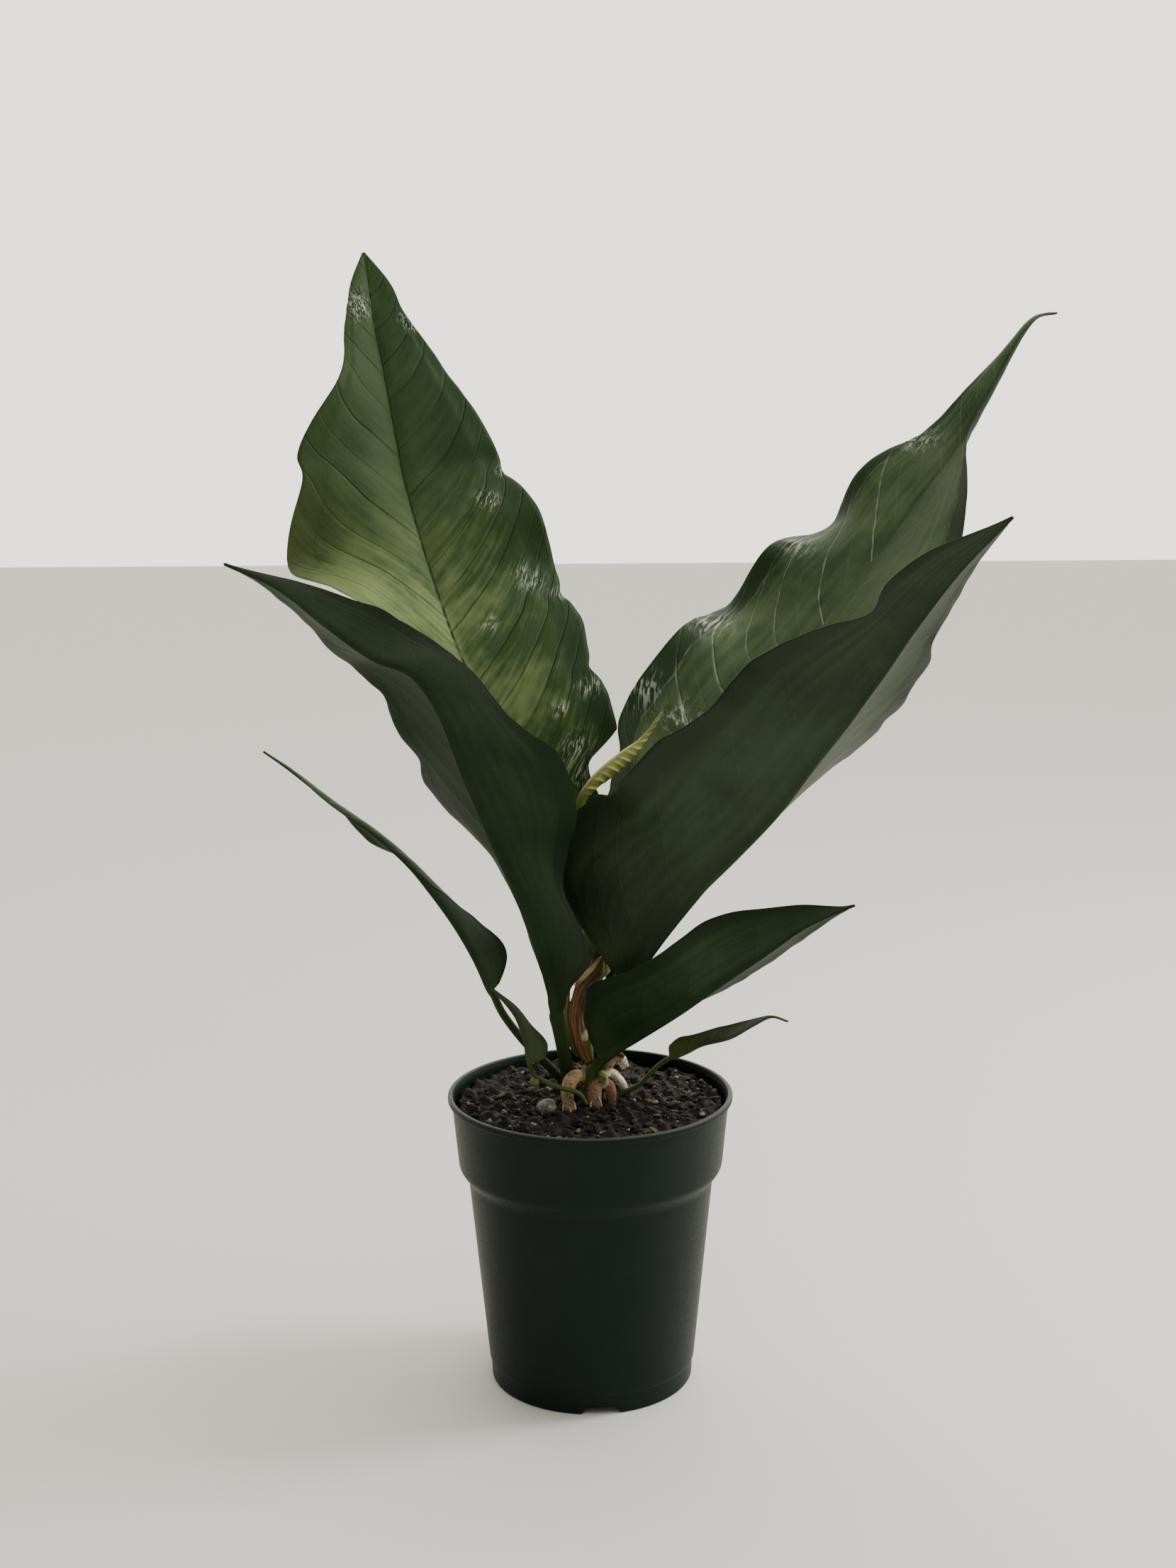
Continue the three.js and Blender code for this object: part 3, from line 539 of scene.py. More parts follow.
def root_finish():
    """The corky skin of an aerial root: dry and dull, each root with its own tint, speckled and
    stained brown, cracked across, and letting a little light in."""
    material, tree, shader = start_material("root_skin", Roughness=0.72, IOR=1.4)
    shader.inputs["Subsurface Weight"].default_value = 0.08
    shader.inputs["Subsurface Radius"].default_value = (2.0 * MM, 1.2 * MM, 0.6 * MM)
    place = add(tree, "ShaderNodeTexCoord").outputs["Object"]
    tint = add(tree, "ShaderNodeAttribute", attribute_name="tint").outputs["Color"]
    spots = add(tree, "ShaderNodeTexNoise", {"Vector": place, "Scale": 1 / (SPECK_SIZE * MM), "Detail": 4.0})
    spotted = add(tree, "ShaderNodeMapRange", {"Value": spots.outputs["Fac"], "From Min": 0.5, "From Max": 0.66,
                  "To Min": 0.0, "To Max": 0.75})
    stain = add(tree, "ShaderNodeTexNoise", {"Vector": place, "Scale": 1 / (STAIN_SIZE * MM), "Detail": 3.0})
    stained = add(tree, "ShaderNodeMapRange", {"Value": stain.outputs["Fac"], "From Min": 0.5, "From Max": 0.75,
                  "To Min": 0.0, "To Max": 0.45})
    dirty = add(tree, "ShaderNodeMix", {"Factor": spotted.outputs[0], 6: tint, 7: linear("#4f3524")},
                data_type="RGBA")
    colour = add(tree, "ShaderNodeMix", {"Factor": stained.outputs[0], 6: dirty.outputs[2], 7: linear("#6b5138")},
                 data_type="RGBA")
    tree.links.new(colour.outputs[2], shader.inputs["Base Color"])
    bump = add(tree, "ShaderNodeBump", {"Height": spots.outputs["Fac"], "Strength": 0.9, "Distance": 0.8 * MM})
    tree.links.new(bump.outputs["Normal"], shader.inputs["Normal"])
    return material


root_skin = root_finish()
print(root_skin.name, "has", len(root_skin.node_tree.nodes), "nodes")

# %% Build the crown
MELT_GRID = 0.5
TINT_BLEND = 0.5
SOILED_BELOW = 171
SOILED_OVER = 8
SOILED = 0.45
PATH_STEP = 0.5
rods = [(*tube(rows, sides=28, step=PATH_STEP, rough=0.1, ring_marks=0.08, seed=5 * number), number)
        for number, (_, rows) in enumerate(CROWN.values())]
points, faces, _ = gather(rods)
points, faces = melted(points, faces, MELT_GRID)
tints = np.array([linear(colour) for colour, _ in CROWN.values()])
paths = [between(rows, even_places(rows, [0, 1, 2], PATH_STEP)) for _, rows in CROWN.values()]
off = np.stack([np.min(np.linalg.norm(points[:, None, :] - path[None, :, :3], axis=2) - path[None, :, 3], axis=1)
                for path in paths], axis=1)
weight = np.exp(-np.clip(off - off.min(axis=1, keepdims=True), 0, 30) / TINT_BLEND)
tint = (weight / weight.sum(axis=1, keepdims=True)) @ tints
soiled = np.clip((SOILED_BELOW - points[:, 2]) / SOILED_OVER, 0, 1)[:, None]
tint = tint * (1 - SOILED * soiled) + np.array(linear("#4b3526")) * SOILED * soiled
fibres = [(*tube(rows, sides=8, step=0.4, rough=0.15, seed=number), 0) for number, rows in enumerate(ROOT_FIBRES)]
fibre_points, fibre_faces, _ = gather(fibres)
faces += [[corner + len(points) for corner in face] for face in fibre_faces]
tint = np.vstack([tint, np.tile(linear("#cbbd9a"), (len(fibre_points), 1))])
crown = place_piece("crown_finished", np.vstack([points, fibre_points]), faces, root_skin, "crown",
                    "crown_with_roots")
tint_points(crown, tint)

# %% [markdown]
# ## Sheaths round the young leaf
#
# Each new leaf comes out of a sheath, which dries to brown paper and tears along its fibres. A
# sheath is a thin curved strip: rows give its axis, its radius, which way it faces and how far it
# wraps. It is laid out as a single layer first, so that torn edges and a slit are simply missing
# faces. Then it gets its thickness. Patches of other browns, and a dark patch that is painted shade
# for a hollow, are soft rectangles given by their place on the strip.

# %% Sheath tables
SHEATHS = {  # rows of x, y, z, radius, facing and half span
    "sheath_dry": [
        (-0.5, 13, 187, 4.4, 250, 60), (-3.5, 13.5, 194, 6, 250, 62), (-5, 13.5, 202, 7, 250, 64),
        (-6.5, 13.5, 213, 7.5, 255, 64), (-6, 13.5, 224, 7, 260, 62), (-3, 13.5, 234, 8.7, 267, 67),
        (0.5, 13.5, 238.5, 9.2, 270, 70), (3.5, 13.5, 242, 9, 272, 68), (7.5, 13, 250.5, 5.5, 272, 20)],
    "sheath_green": [
        (-1.8, 13.2, 190, 6.4, 200, 14), (-3.5, 13.5, 194, 7.3, 203, 18), (-5, 13.5, 202, 8.3, 205, 20),
        (-6.5, 13.5, 213, 8.8, 205, 20), (-6, 13.5, 224, 8.3, 207, 18), (-4, 13.5, 231, 9.2, 208, 5)],
}
# Among these patches a dark one is painted shade, standing for a hollow in the sheath
SHEATH_PATCHES = [  # share across, height, reach across, reach up, colour
    (0.75, 246, 0.55, 7, "#8a8638"), (-0.45, 243, 0.22, 7, "#c8b284"), (-0.6, 236, 0.1, 8, "#c0a878"),
    (0.1, 244, 0.3, 8, "#4a2c20"), (0.62, 204, 0.26, 3.4, "#d8c8a0"), (0.75, 195, 0.4, 5, "#70493a"),
    (0.55, 212, 0.1, 5, "#b79a78"), (0.45, 208, 0.07, 5, "#3a1f18"), (-0.2, 205, 0.12, 8, "#9a6c40"),
    (-0.85, 222, 0.15, 9, "#7d5a3c")]
SLIT = dict(low=223, high=237, across=-0.63, wide=0.14)
print("sheaths:", len(SHEATHS), "and patches:", len(SHEATH_PATCHES))

# %% Torn edges, slit and patches
RAGGED_AT = ([190, 226, 234, 246], [1, 1, 0.1, 0.5])  # heights, and how torn the edge is there
RAGGED_LEFT = 0.3
SHORT_BITE = 2.1
LONG_BITE = 7


def fray(share, z):
    """How much is torn off a strip's edge at one height, as a share of its half span."""
    bites = (0.10 + 0.12 * noise.noise(Vector((z / SHORT_BITE, share, 8)))
             + 0.1 * noise.noise(Vector((z / LONG_BITE, share, 4))))
    return np.interp(z, *RAGGED_AT) * (RAGGED_LEFT if share < 0 else 1) * bites


def in_slit(share, z):
    """True inside the slit, which is widest halfway up."""
    way_up = min(max((z - SLIT["low"]) / (SLIT["high"] - SLIT["low"]), 0), 1)
    return abs(share - SLIT["across"]) < SLIT["wide"] * math.sin(math.pi * way_up)


def patch_colours(shares, heights, patches):
    """The colour of the strongest patch at each point, and how far it covers the fibre there."""
    tint, cover = np.zeros((len(shares), 4)), np.zeros(len(shares))
    for share, height, reach_across, reach_up, colour in patches:
        weight = np.exp(-((shares - share) / reach_across) ** 4 - ((heights - height) / reach_up) ** 4)
        tint[weight > cover] = linear(colour)
        cover = np.maximum(cover, weight)
    return tint, cover


print("torn off the right edge halfway up:", round(float(fray(1, 210)), 3))

# %% Sheath builder
SHEATH_THICKNESS = 0.6
SHEATH_STEP = 0.6
SHEATH_COLUMNS = 44
EVEN_PLEATS = 0.16
PLEATS_ACROSS = 21  # radians from the middle to an edge, so that about seven pleats fit across
UNEVEN_PLEATS = 0.25
RAGGED_TOP = 0.5


def build_sheath(name, finish, torn):
    """A fluted papery strip from its rows; a torn one has frayed edges, a slit and patches."""
    track = between(SHEATHS[name], even_places(SHEATHS[name], [0, 1, 2], SHEATH_STEP))
    across = np.linspace(-1, 1, SHEATH_COLUMNS)
    points, kept = [], []
    for x, y, z, radius, facing, half_span in track:
        for share in across:
            turn = math.radians(facing + half_span * share)
            pleat = (EVEN_PLEATS * math.sin(share * PLEATS_ACROSS)
                     + UNEVEN_PLEATS * noise.noise(Vector((share * 4, z / 12, 2))))
            points.append((x + (radius + pleat) * math.cos(turn), y + (radius + pleat) * math.sin(turn),
                           z + RAGGED_TOP * noise.noise(Vector((share * 9, z / 3, 5)))))
            edge = 1 - fray(share, z) if torn else 1
            kept.append(abs(share) < edge and not (torn and in_slit(share, z)))
    faces = []
    for ring in range(len(track) - 1):
        for column in range(SHEATH_COLUMNS - 1):
            a = ring * SHEATH_COLUMNS + column
            corners = [a, a + 1, a + 1 + SHEATH_COLUMNS, a + SHEATH_COLUMNS]
            if all(kept[corner] for corner in corners):
                faces.append(corners)
    used = sorted({corner for face in faces for corner in face})
    number = {corner: index for index, corner in enumerate(used)}
    points = np.array([points[corner] for corner in used])
    faces = [[number[corner] for corner in face] for face in faces]
    strip = place_piece(name + "_fibrous", points, faces, finish, name, name)
    shares, heights = np.tile(across, len(track))[used], np.repeat(track[:, 2], SHEATH_COLUMNS)[used]
    tint, cover = patch_colours(shares, heights, SHEATH_PATCHES if torn else [])
    mark(strip, "across", shares)
    mark(strip, "along", heights)
    tint_points(strip, tint)
    mark(strip, "cover", cover)
    thick = strip.modifiers.new("thickness", "SOLIDIFY")
    thick.thickness = SHEATH_THICKNESS * MM
    thick.offset = 0
    bpy.context.view_layer.objects.active = strip
    bpy.ops.object.modifier_apply(modifier=thick.name)


print("a sheath has", SHEATH_COLUMNS, "points across and is", SHEATH_THICKNESS, "mm thick")

# %% Sheath finish and both sheaths
FIBRES_ACROSS = 9.0
FIBRES_ALONG = 0.03
PATCHES_SHOWN = 0.8


def fibre_finish(name, dark, mid, pale, rough):
    """A leaf sheath's fibres: streaks that run lengthways from the strip's own coordinates. The dry
    one is brown and papery, the green one smoother and waxy."""
    material, tree, shader = start_material(name, Roughness=rough, IOR=1.45)
    across = add(tree, "ShaderNodeAttribute", attribute_name="across").outputs["Fac"]
    along = add(tree, "ShaderNodeAttribute", attribute_name="along").outputs["Fac"]
    wide = add(tree, "ShaderNodeMath", {0: across, 1: FIBRES_ACROSS}, operation="MULTIPLY")
    lengthways = add(tree, "ShaderNodeMath", {0: along, 1: FIBRES_ALONG}, operation="MULTIPLY")
    place = add(tree, "ShaderNodeCombineXYZ", {"X": wide.outputs[0], "Y": lengthways.outputs[0]})
    streak = add(tree, "ShaderNodeTexNoise", {"Vector": place.outputs[0], "Scale": 1.0, "Detail": 5.0,
                 "Roughness": 0.65})
    ramp = add(tree, "ShaderNodeValToRGB", {"Fac": streak.outputs["Fac"]})
    stops = ramp.color_ramp.elements
    stops[0].position, stops[0].color = 0.36, linear(dark)
    stops[1].position, stops[1].color = 0.66, linear(pale)
    stops.new(0.5).color = linear(mid)
    tint = add(tree, "ShaderNodeAttribute", attribute_name="tint").outputs["Color"]
    cover = add(tree, "ShaderNodeAttribute", attribute_name="cover").outputs["Fac"]
    covered = add(tree, "ShaderNodeMath", {0: cover, 1: PATCHES_SHOWN}, operation="MULTIPLY")
    colour = add(tree, "ShaderNodeMix", {"Factor": covered.outputs[0], 6: ramp.outputs["Color"], 7: tint},
                 data_type="RGBA")
    tree.links.new(colour.outputs[2], shader.inputs["Base Color"])
    bump = add(tree, "ShaderNodeBump", {"Height": streak.outputs["Fac"], "Strength": 0.7, "Distance": 0.6 * MM})
    tree.links.new(bump.outputs["Normal"], shader.inputs["Normal"])
    return material


build_sheath("sheath_dry", fibre_finish("dry_sheath_paper", "#3a2116", "#6a4528", "#a98c60", rough=0.6), torn=True)
build_sheath("sheath_green", fibre_finish("green_sheath_skin", "#3f4d1e", "#5f6f2e", "#8a9448", rough=0.42),
             torn=False)

# %% [markdown]
# ## The young leaf
#
# The youngest leaf stands rolled up round its midrib. The pale midrib runs along the upper side of
# the roll; the blade beside it is puckered by its side veins, and its free edge lies lengthways on
# the roll as a low step. So the skin is one closed rod whose section changes round the turn.

# %% Young leaf table
NEW_LEAF = [  # x, y, z and radius
    (0, 15, 166, 2.8), (-1, 14.5, 195, 2.6), (-4, 14, 235, 2.4), (-6, 13, 280, 2.2), (-6, 13, 312, 2.2),
    (-5, 14, 338, 2.6), (2, 17.5, 349, 3.6), (11, 23, 356, 4.7), (22, 29, 364, 4.3), (30, 33.5, 370.5, 2.7),
    (36, 37, 377.5, 1.5), (40, 39.3, 383, 1.3), (43, 41, 388, 0.3)]
print("young leaf rows:", len(NEW_LEAF))

# %% Young leaf skin
CLOUD_SIZE = 9


def young_finish():
    """The skin of a leaf that is still growing: thin, waxy and a little translucent, yellow-green
    with paler ribs whose pale colour is partly a painted highlight, and greener down the stalk."""
    material, tree, shader = start_material("young_leaf_skin", Roughness=0.38, IOR=1.45)
    shader.inputs["Subsurface Weight"].default_value = 0.1
    shader.inputs["Subsurface Radius"].default_value = (2.0 * MM, 2.5 * MM, 0.8 * MM)
    rib = add(tree, "ShaderNodeAttribute", attribute_name="rib").outputs["Fac"]
    rolled = add(tree, "ShaderNodeAttribute", attribute_name="rolled").outputs["Fac"]
    place = add(tree, "ShaderNodeTexCoord").outputs["Object"]
    cloud = add(tree, "ShaderNodeTexNoise", {"Vector": place, "Scale": 1 / (CLOUD_SIZE * MM), "Detail": 3.0})
    skin = add(tree, "ShaderNodeMix", {"Factor": cloud.outputs["Fac"], 6: linear("#4c5412"), 7: linear("#868a38")},
               data_type="RGBA")
    # The ribs' pale colour is partly their own and partly a painted highlight on the puckered ribs
    pale_ribs_and_highlight = add(tree, "ShaderNodeMix", {"Factor": rib, 6: skin.outputs[2], 7: linear("#dcd79c")}, data_type="RGBA")
    colour = add(tree, "ShaderNodeMix", {"Factor": rolled, 6: linear("#5c6d2e"), 7: pale_ribs_and_highlight.outputs[2]},
                 data_type="RGBA")
    tree.links.new(colour.outputs[2], shader.inputs["Base Color"])
    bump = add(tree, "ShaderNodeBump", {"Height": rib, "Strength": 0.3, "Distance": 0.3 * MM})
    tree.links.new(bump.outputs["Normal"], shader.inputs["Normal"])
    return material


young_skin = young_finish()
print(young_skin.name, "has", len(young_skin.node_tree.nodes), "nodes")

# %% Build the young leaf
YOUNG_STEP = 0.8
YOUNG_SIDES = 84
ROLL_START = 338
ROLL_LENGTH = 12
MIDRIB_WAY = np.array((-0.7, -0.25, 0.7))
MIDRIB_TURN = 0.32
MIDRIB_PROUD = 0.35
SIDE_RIB_SPACING = 5.2
SIDE_RIB_PROUD = 0.4
SIDE_RIB_WANDER = 0.35
SIDE_RIB_SWEEP = 0.45
SIDE_RIB_STARTS = (0.4, 1.0)  # radians from the midrib, as in the three lines below
FREE_EDGE_TURN = 2.2
FREE_EDGE_WIDE = 0.12
FREE_EDGE_FADES = (4.4, 6.0)
FREE_EDGE_STEP = 0.5
FULL_RELIEF_RADIUS = 4
SUNK = 0.2
track = between(NEW_LEAF, even_places(NEW_LEAF, [0, 1, 2], YOUNG_STEP))
run = np.concatenate([[0], np.cumsum(np.linalg.norm(np.diff(track[:, :3], axis=0), axis=1))])
ahead = np.gradient(track[:, :3], axis=0)
ahead /= np.linalg.norm(ahead, axis=1)[:, None]
side = MIDRIB_WAY - ahead * (ahead @ MIDRIB_WAY)[:, None]
side /= np.linalg.norm(side, axis=1)[:, None]
other = np.cross(ahead, side)
turn = np.arange(YOUNG_SIDES) * 2 * np.pi / YOUNG_SIDES
from_rib = np.minimum(turn, 2 * np.pi - turn)[None, :]
rolled = smooth_step(track[:, 2], ROLL_START, ROLL_START + ROLL_LENGTH)[:, None]
midrib = np.exp(-(from_rib / MIDRIB_TURN) ** 2)
wander = np.array([noise.noise(Vector((place / 9, 3, 1))) for place in run])[:, None]
ribs = (0.5 + 0.5 * np.cos(2 * np.pi * (run[:, None] / SIDE_RIB_SPACING + SIDE_RIB_WANDER * wander
                                        - SIDE_RIB_SWEEP * from_rib))) ** 3
ribs *= smooth_step(from_rib, *SIDE_RIB_STARTS) * (0.6 + 0.8 * np.abs(wander))
under_edge = smooth_step(turn, FREE_EDGE_TURN, FREE_EDGE_TURN + FREE_EDGE_WIDE)
under_edge = under_edge * (1 - smooth_step(turn, *FREE_EDGE_FADES))
fat = np.minimum(track[:, 3:4] / FULL_RELIEF_RADIUS, 1) * rolled
relief = MIDRIB_PROUD * midrib + SIDE_RIB_PROUD * ribs - FREE_EDGE_STEP * under_edge[None, :] - SUNK
radius = track[:, 3:4] + fat * relief
points = (track[:, None, :3] + radius[..., None] * (side[:, None, :] * np.cos(turn)[None, :, None]
                                                    + other[:, None, :] * np.sin(turn)[None, :, None]))
young = place_piece("new_leaf_rolled", points.reshape(-1, 3), ring_faces(len(track), YOUNG_SIDES), young_skin,
                    "young_leaf", "new_leaf")
mark(young, "rib", rolled * np.clip(0.75 * midrib + 0.85 * ribs ** 2, 0, 1))
mark(young, "rolled", rolled * np.ones(YOUNG_SIDES))

# %% [markdown]
# ## The mix in the pot
#
# One body of revolution fills the pot up to the mix's relief, and its top is dented with two sizes
# of cells, as crumbs that touch leave gaps between them. Loose crumbs, chips and fibres go on top,
# all in one mesh with a tone for each, from near black peat to pale fibre. Perlite is volcanic glass
# puffed up by heat, so its grains are white, rough and pitted. They are a piece of their own.

# %% Mix finish
CRUMB_SIZE = 0.9
DAMP_SIZE = 7
CRUMB_CONTRAST = 0.55
DAMP_CONTRAST = 0.3


def mix_finish():
    """Damp peat and composted bark: near black crumbs, browner bark and pale fibres, all matt, with
    a dull gleam where the mix is wetter."""
    material, tree, shader = start_material("peat_and_bark", IOR=1.4)
    place = add(tree, "ShaderNodeTexCoord").outputs["Object"]
    tone = add(tree, "ShaderNodeAttribute", attribute_name="tone").outputs["Fac"]
    fine = add(tree, "ShaderNodeTexNoise", {"Vector": place, "Scale": 1 / (CRUMB_SIZE * MM), "Detail": 5.0,
               "Roughness": 0.7})
    coarse = add(tree, "ShaderNodeTexNoise", {"Vector": place, "Scale": 1 / (DAMP_SIZE * MM), "Detail": 3.0})
    varied = add(tree, "ShaderNodeMath", {0: fine.outputs["Fac"], 1: CRUMB_CONTRAST, 2: tone},
                 operation="MULTIPLY_ADD")
    shade = add(tree, "ShaderNodeMath", {0: coarse.outputs["Fac"], 1: DAMP_CONTRAST, 2: varied.outputs[0]},
                operation="MULTIPLY_ADD")
    ramp = add(tree, "ShaderNodeValToRGB", {"Fac": shade.outputs[0]})
    stops = ramp.color_ramp.elements
    stops[0].position, stops[0].color = 0.3, linear("#0d0a09")
    stops[1].position, stops[1].color = 1.0, linear("#75654f")
    for position, colour in ((0.5, "#15100d"), (0.68, "#231915"), (0.84, "#392a1f")):
        stops.new(position).color = linear(colour)
    tree.links.new(ramp.outputs["Color"], shader.inputs["Base Color"])
    damp = add(tree, "ShaderNodeMapRange", {"Value": coarse.outputs["Fac"], "From Min": 0.35, "From Max": 0.65,
               "To Min": 0.62, "To Max": 0.9})
    tree.links.new(damp.outputs[0], shader.inputs["Roughness"])
    bump = add(tree, "ShaderNodeBump", {"Height": fine.outputs["Fac"], "Strength": 0.8, "Distance": 0.5 * MM})
    tree.links.new(bump.outputs["Normal"], shader.inputs["Normal"])
    return material


peat = mix_finish()
print(peat.name, "has", len(peat.node_tree.nodes), "nodes")

# %% Perlite finish
PIT_SIZE = 0.9  # real pits are under half a millimetre; these are coarse enough to show
DIRT_SIZE = 2.5


def perlite_finish():
    """Perlite, glass puffed up by heat: off-white, chalky, pitted, and stained by the wet mix."""
    material, tree, shader = start_material("perlite_grain", Roughness=0.9, IOR=1.5)
    place = add(tree, "ShaderNodeTexCoord").outputs["Object"]
    pits = add(tree, "ShaderNodeTexVoronoi", {"Vector": place, "Scale": 1 / (PIT_SIZE * MM)})
    stain = add(tree, "ShaderNodeTexNoise", {"Vector": place, "Scale": 1 / (DIRT_SIZE * MM), "Detail": 4.0})
    dirt = add(tree, "ShaderNodeMapRange", {"Value": stain.outputs["Fac"], "From Min": 0.42, "From Max": 0.68})
    colour = add(tree, "ShaderNodeMix", {"Factor": dirt.outputs[0], 6: linear("#a3a196"), 7: linear("#5a564b")},
                 data_type="RGBA")
    tree.links.new(colour.outputs[2], shader.inputs["Base Color"])
    bump = add(tree, "ShaderNodeBump", {"Height": pits.outputs["Distance"], "Strength": 0.7, "Distance": 0.5 * MM})
    tree.links.new(bump.outputs["Normal"], shader.inputs["Normal"])
    return material


chalk = perlite_finish()
print(chalk.name, "has", len(chalk.node_tree.nodes), "nodes")

# %% Free places on the mix
LUMP = dict(centre=(-25, -11, 167), size=(6.2, 5, 4.6), turn=0.5, room=6)
REACHES_MIX = 178

# Circles of x, y and radius that the crown's rods and the lump take up: nothing loose may lie there
taken = [(x, y, r) for _, rows in CROWN.values() for x, y, z, r in between(rows, even_places(rows, [0, 1, 2], 2))
         if z < REACHES_MIX]
taken += [(*LUMP["centre"][:2], LUMP["room"])]


def is_free(x, y, margin):
    """True where nothing stands within the margin of a place."""
    return all(math.hypot(x - cx, y - cy) > r + margin for cx, cy, r in taken)


def strewn(count, low, high):
    """Random free places on the mix, each with a size; the smaller sizes are commoner."""
    spots = []
    while len(spots) < count:
        r = SOIL_EDGE * math.sqrt(random.random())
        turn = random.uniform(0, 2 * math.pi)
        size = low + (high - low) * random.random() ** 2.2
        x, y = r * math.cos(turn), r * math.sin(turn)
        if r + 2 * size < SOIL_EDGE and is_free(x, y, size + 0.4):
            spots.append((x, y, size))
    return spots


print("circles kept free:", len(taken))

# %% Body of the mix
MIX_SECTORS = 280
MIX_RINGS = 90
MIX_PROFILE = [(0, 6.3), (55, 6.3), (58.2, 14), (68.3, 122.4), (71.5, 132), (75.5, 158)]  # radius and height
MIX_TONE = 0.18
WIDE_CELL, WIDE_DEPTH = 3.4, 1.3
SMALL_CELL, SMALL_DEPTH = 1.5, 0.6
SWELL, SWELL_HEIGHT = 9, 0.8
top_rings = [(r, SOIL_TOP) for r in np.linspace(SOIL_EDGE, 0.6, MIX_RINGS)]
points, faces = turned(np.array(MIX_PROFILE + top_rings + [(0, SOIL_TOP)]), MIX_SECTORS)
top = points[:, 2] > SOIL_TOP - 1
lift = np.zeros(len(points))
for index in np.flatnonzero(top):
    x, y = points[index, :2]
    near, _ = noise.voronoi(Vector((x / WIDE_CELL, y / WIDE_CELL, 0)))
    small, _ = noise.voronoi(Vector((x / SMALL_CELL, y / SMALL_CELL, 3)))
    swell = noise.noise(Vector((x / SWELL, y / SWELL, 1)))
    lift[index] = WIDE_DEPTH * (0.55 - near[0]) + SMALL_DEPTH * (0.5 - small[0]) + SWELL_HEIGHT * swell
points[top, 2] = soil_height(points[top, 0], points[top, 1]) + lift[top]
parts = [(points, faces, MIX_TONE)]
print("highest point of the body:", round(float(points[:, 2].max()), 1), "mm")

# %% Loose crumbs, bark chips and fibres
for x, y, size in strewn(count=1250, low=0.5, high=2.1):
    stretch = (random.uniform(0.9, 1.6), random.uniform(0.6, 1.0), random.uniform(0.5, 0.9))
    centre = (x, y, soil_height(x, y) + 0.25 * size)
    parts.append((*crumb(centre, size, stretch, level=2, rough=0.5), random.uniform(0.0, 0.42)))
for x, y, size in strewn(count=60, low=1.6, high=3.4):
    stretch = (random.uniform(1.2, 1.9), random.uniform(0.5, 0.8), random.uniform(0.25, 0.4))
    centre = (x, y, soil_height(x, y) + 0.9)
    parts.append((*crumb(centre, size, stretch, level=2, rough=0.35), random.uniform(0.3, 0.55)))
for x, y, size in strewn(count=150, low=1.5, high=4.5):
    turn, bend = random.uniform(0, 2 * math.pi), random.uniform(-0.9, 0.9)
    height = soil_height(x, y) + 0.9
    rows = [(x + size * t * math.cos(turn + bend * t), y + size * t * math.sin(turn + bend * t),
             height + random.uniform(-0.3, 0.9), 0.16) for t in (-1, -0.3, 0.4, 1)]
    parts.append((*tube(rows, sides=5, step=1.2, rounded=False), random.uniform(0.35, 0.7)))
points, faces, tones = gather(parts)
mix = place_piece("potting_mix_crumbs", points, faces, peat, "potting_mix", "potting_mix")
mark(mix, "tone", tones)

# %% Perlite
DENT_DEPTH = 0.35
MOST_PROUD = 0.05
points, faces = BALLS[4]

# Dents of three sizes go in, and hardly anything stands out
dents = np.array([0.5 * noise.noise(Vector(point) * 1.6) + 0.3 * noise.noise(Vector(point) * 4)
                  + 0.12 * noise.noise(Vector(point) * 11) for point in points])
points = points * (1 + DENT_DEPTH * np.minimum(dents, MOST_PROUD))[:, None] * np.array(LUMP["size"])
spin = np.array(Matrix.Rotation(LUMP["turn"], 3, "Z"))
place_piece("perlite_lump_pitted", points @ spin.T + np.array(LUMP["centre"]), faces, chalk, "perlite", "perlite_lump")
grains = [(*crumb((x, y, soil_height(x, y) + 0.9), size, (1.1, 0.9, 0.8), level=2, rough=0.5), 0)
          for x, y, size in strewn(count=90, low=0.5, high=1.7)]
points, faces, _ = gather(grains)
place_piece("perlite_grains", points, faces, chalk, "perlite")

# %% [markdown]
# ## Leaf finish
#
# The upper face of an anthurium leaf is leathery, with a satin gloss. Its side veins are thin,
# pressed in, and joined by a vein that runs along the margin; the band outside that vein is darker,
# partly in its own green and partly as painted shade. On the back leaf the veins and rib are painted
# dark, as painted shade in their grooves. The underside is dull, its colour darkened as painted shade,
# since little light reaches it, and its veins hardly show. So each leaf has two materials, made by
# one function. Each point of a leaf carries where it lies: the share of the way from rib to margin,
# the millimetres along, the count of side veins passed and how strong the nearest one is. The count
# goes up by two from one side vein to the next, so a side vein lies at every even number, and a
# fainter one midway, at every odd number.

# %% Veins of a leaf
VEIN_SPACING = 23.0
VEIN_WIDTH = 0.8
VEIN_REACH = VEIN_WIDTH / VEIN_SPACING  # half a vein's width in counts, as a count is half a spacing
MIDWAY_SHOWN = 0.12
MARGIN_VEIN = 0.8
MARGIN_SHOWN = 0.35
WOBBLE_SIZE = 18.0
SIDE_WOBBLE = 0.2
MARGIN_WOBBLE = 0.09
LABELS = ("across", "along", "vein_count", "vein_strength", "rib", "fresh", "wrinkled")


def read_labels(tree):
    """What each point of a leaf carries, with its place and its share of the way to the margin."""
    at = SimpleNamespace(**{label: add(tree, "ShaderNodeAttribute", attribute_name=label).outputs["Fac"]
                            for label in LABELS})
    at.place = add(tree, "ShaderNodeTexCoord").outputs["Object"]
    at.share = add(tree, "ShaderNodeMath", {0: at.across}, operation="ABSOLUTE").outputs[0]
    return at


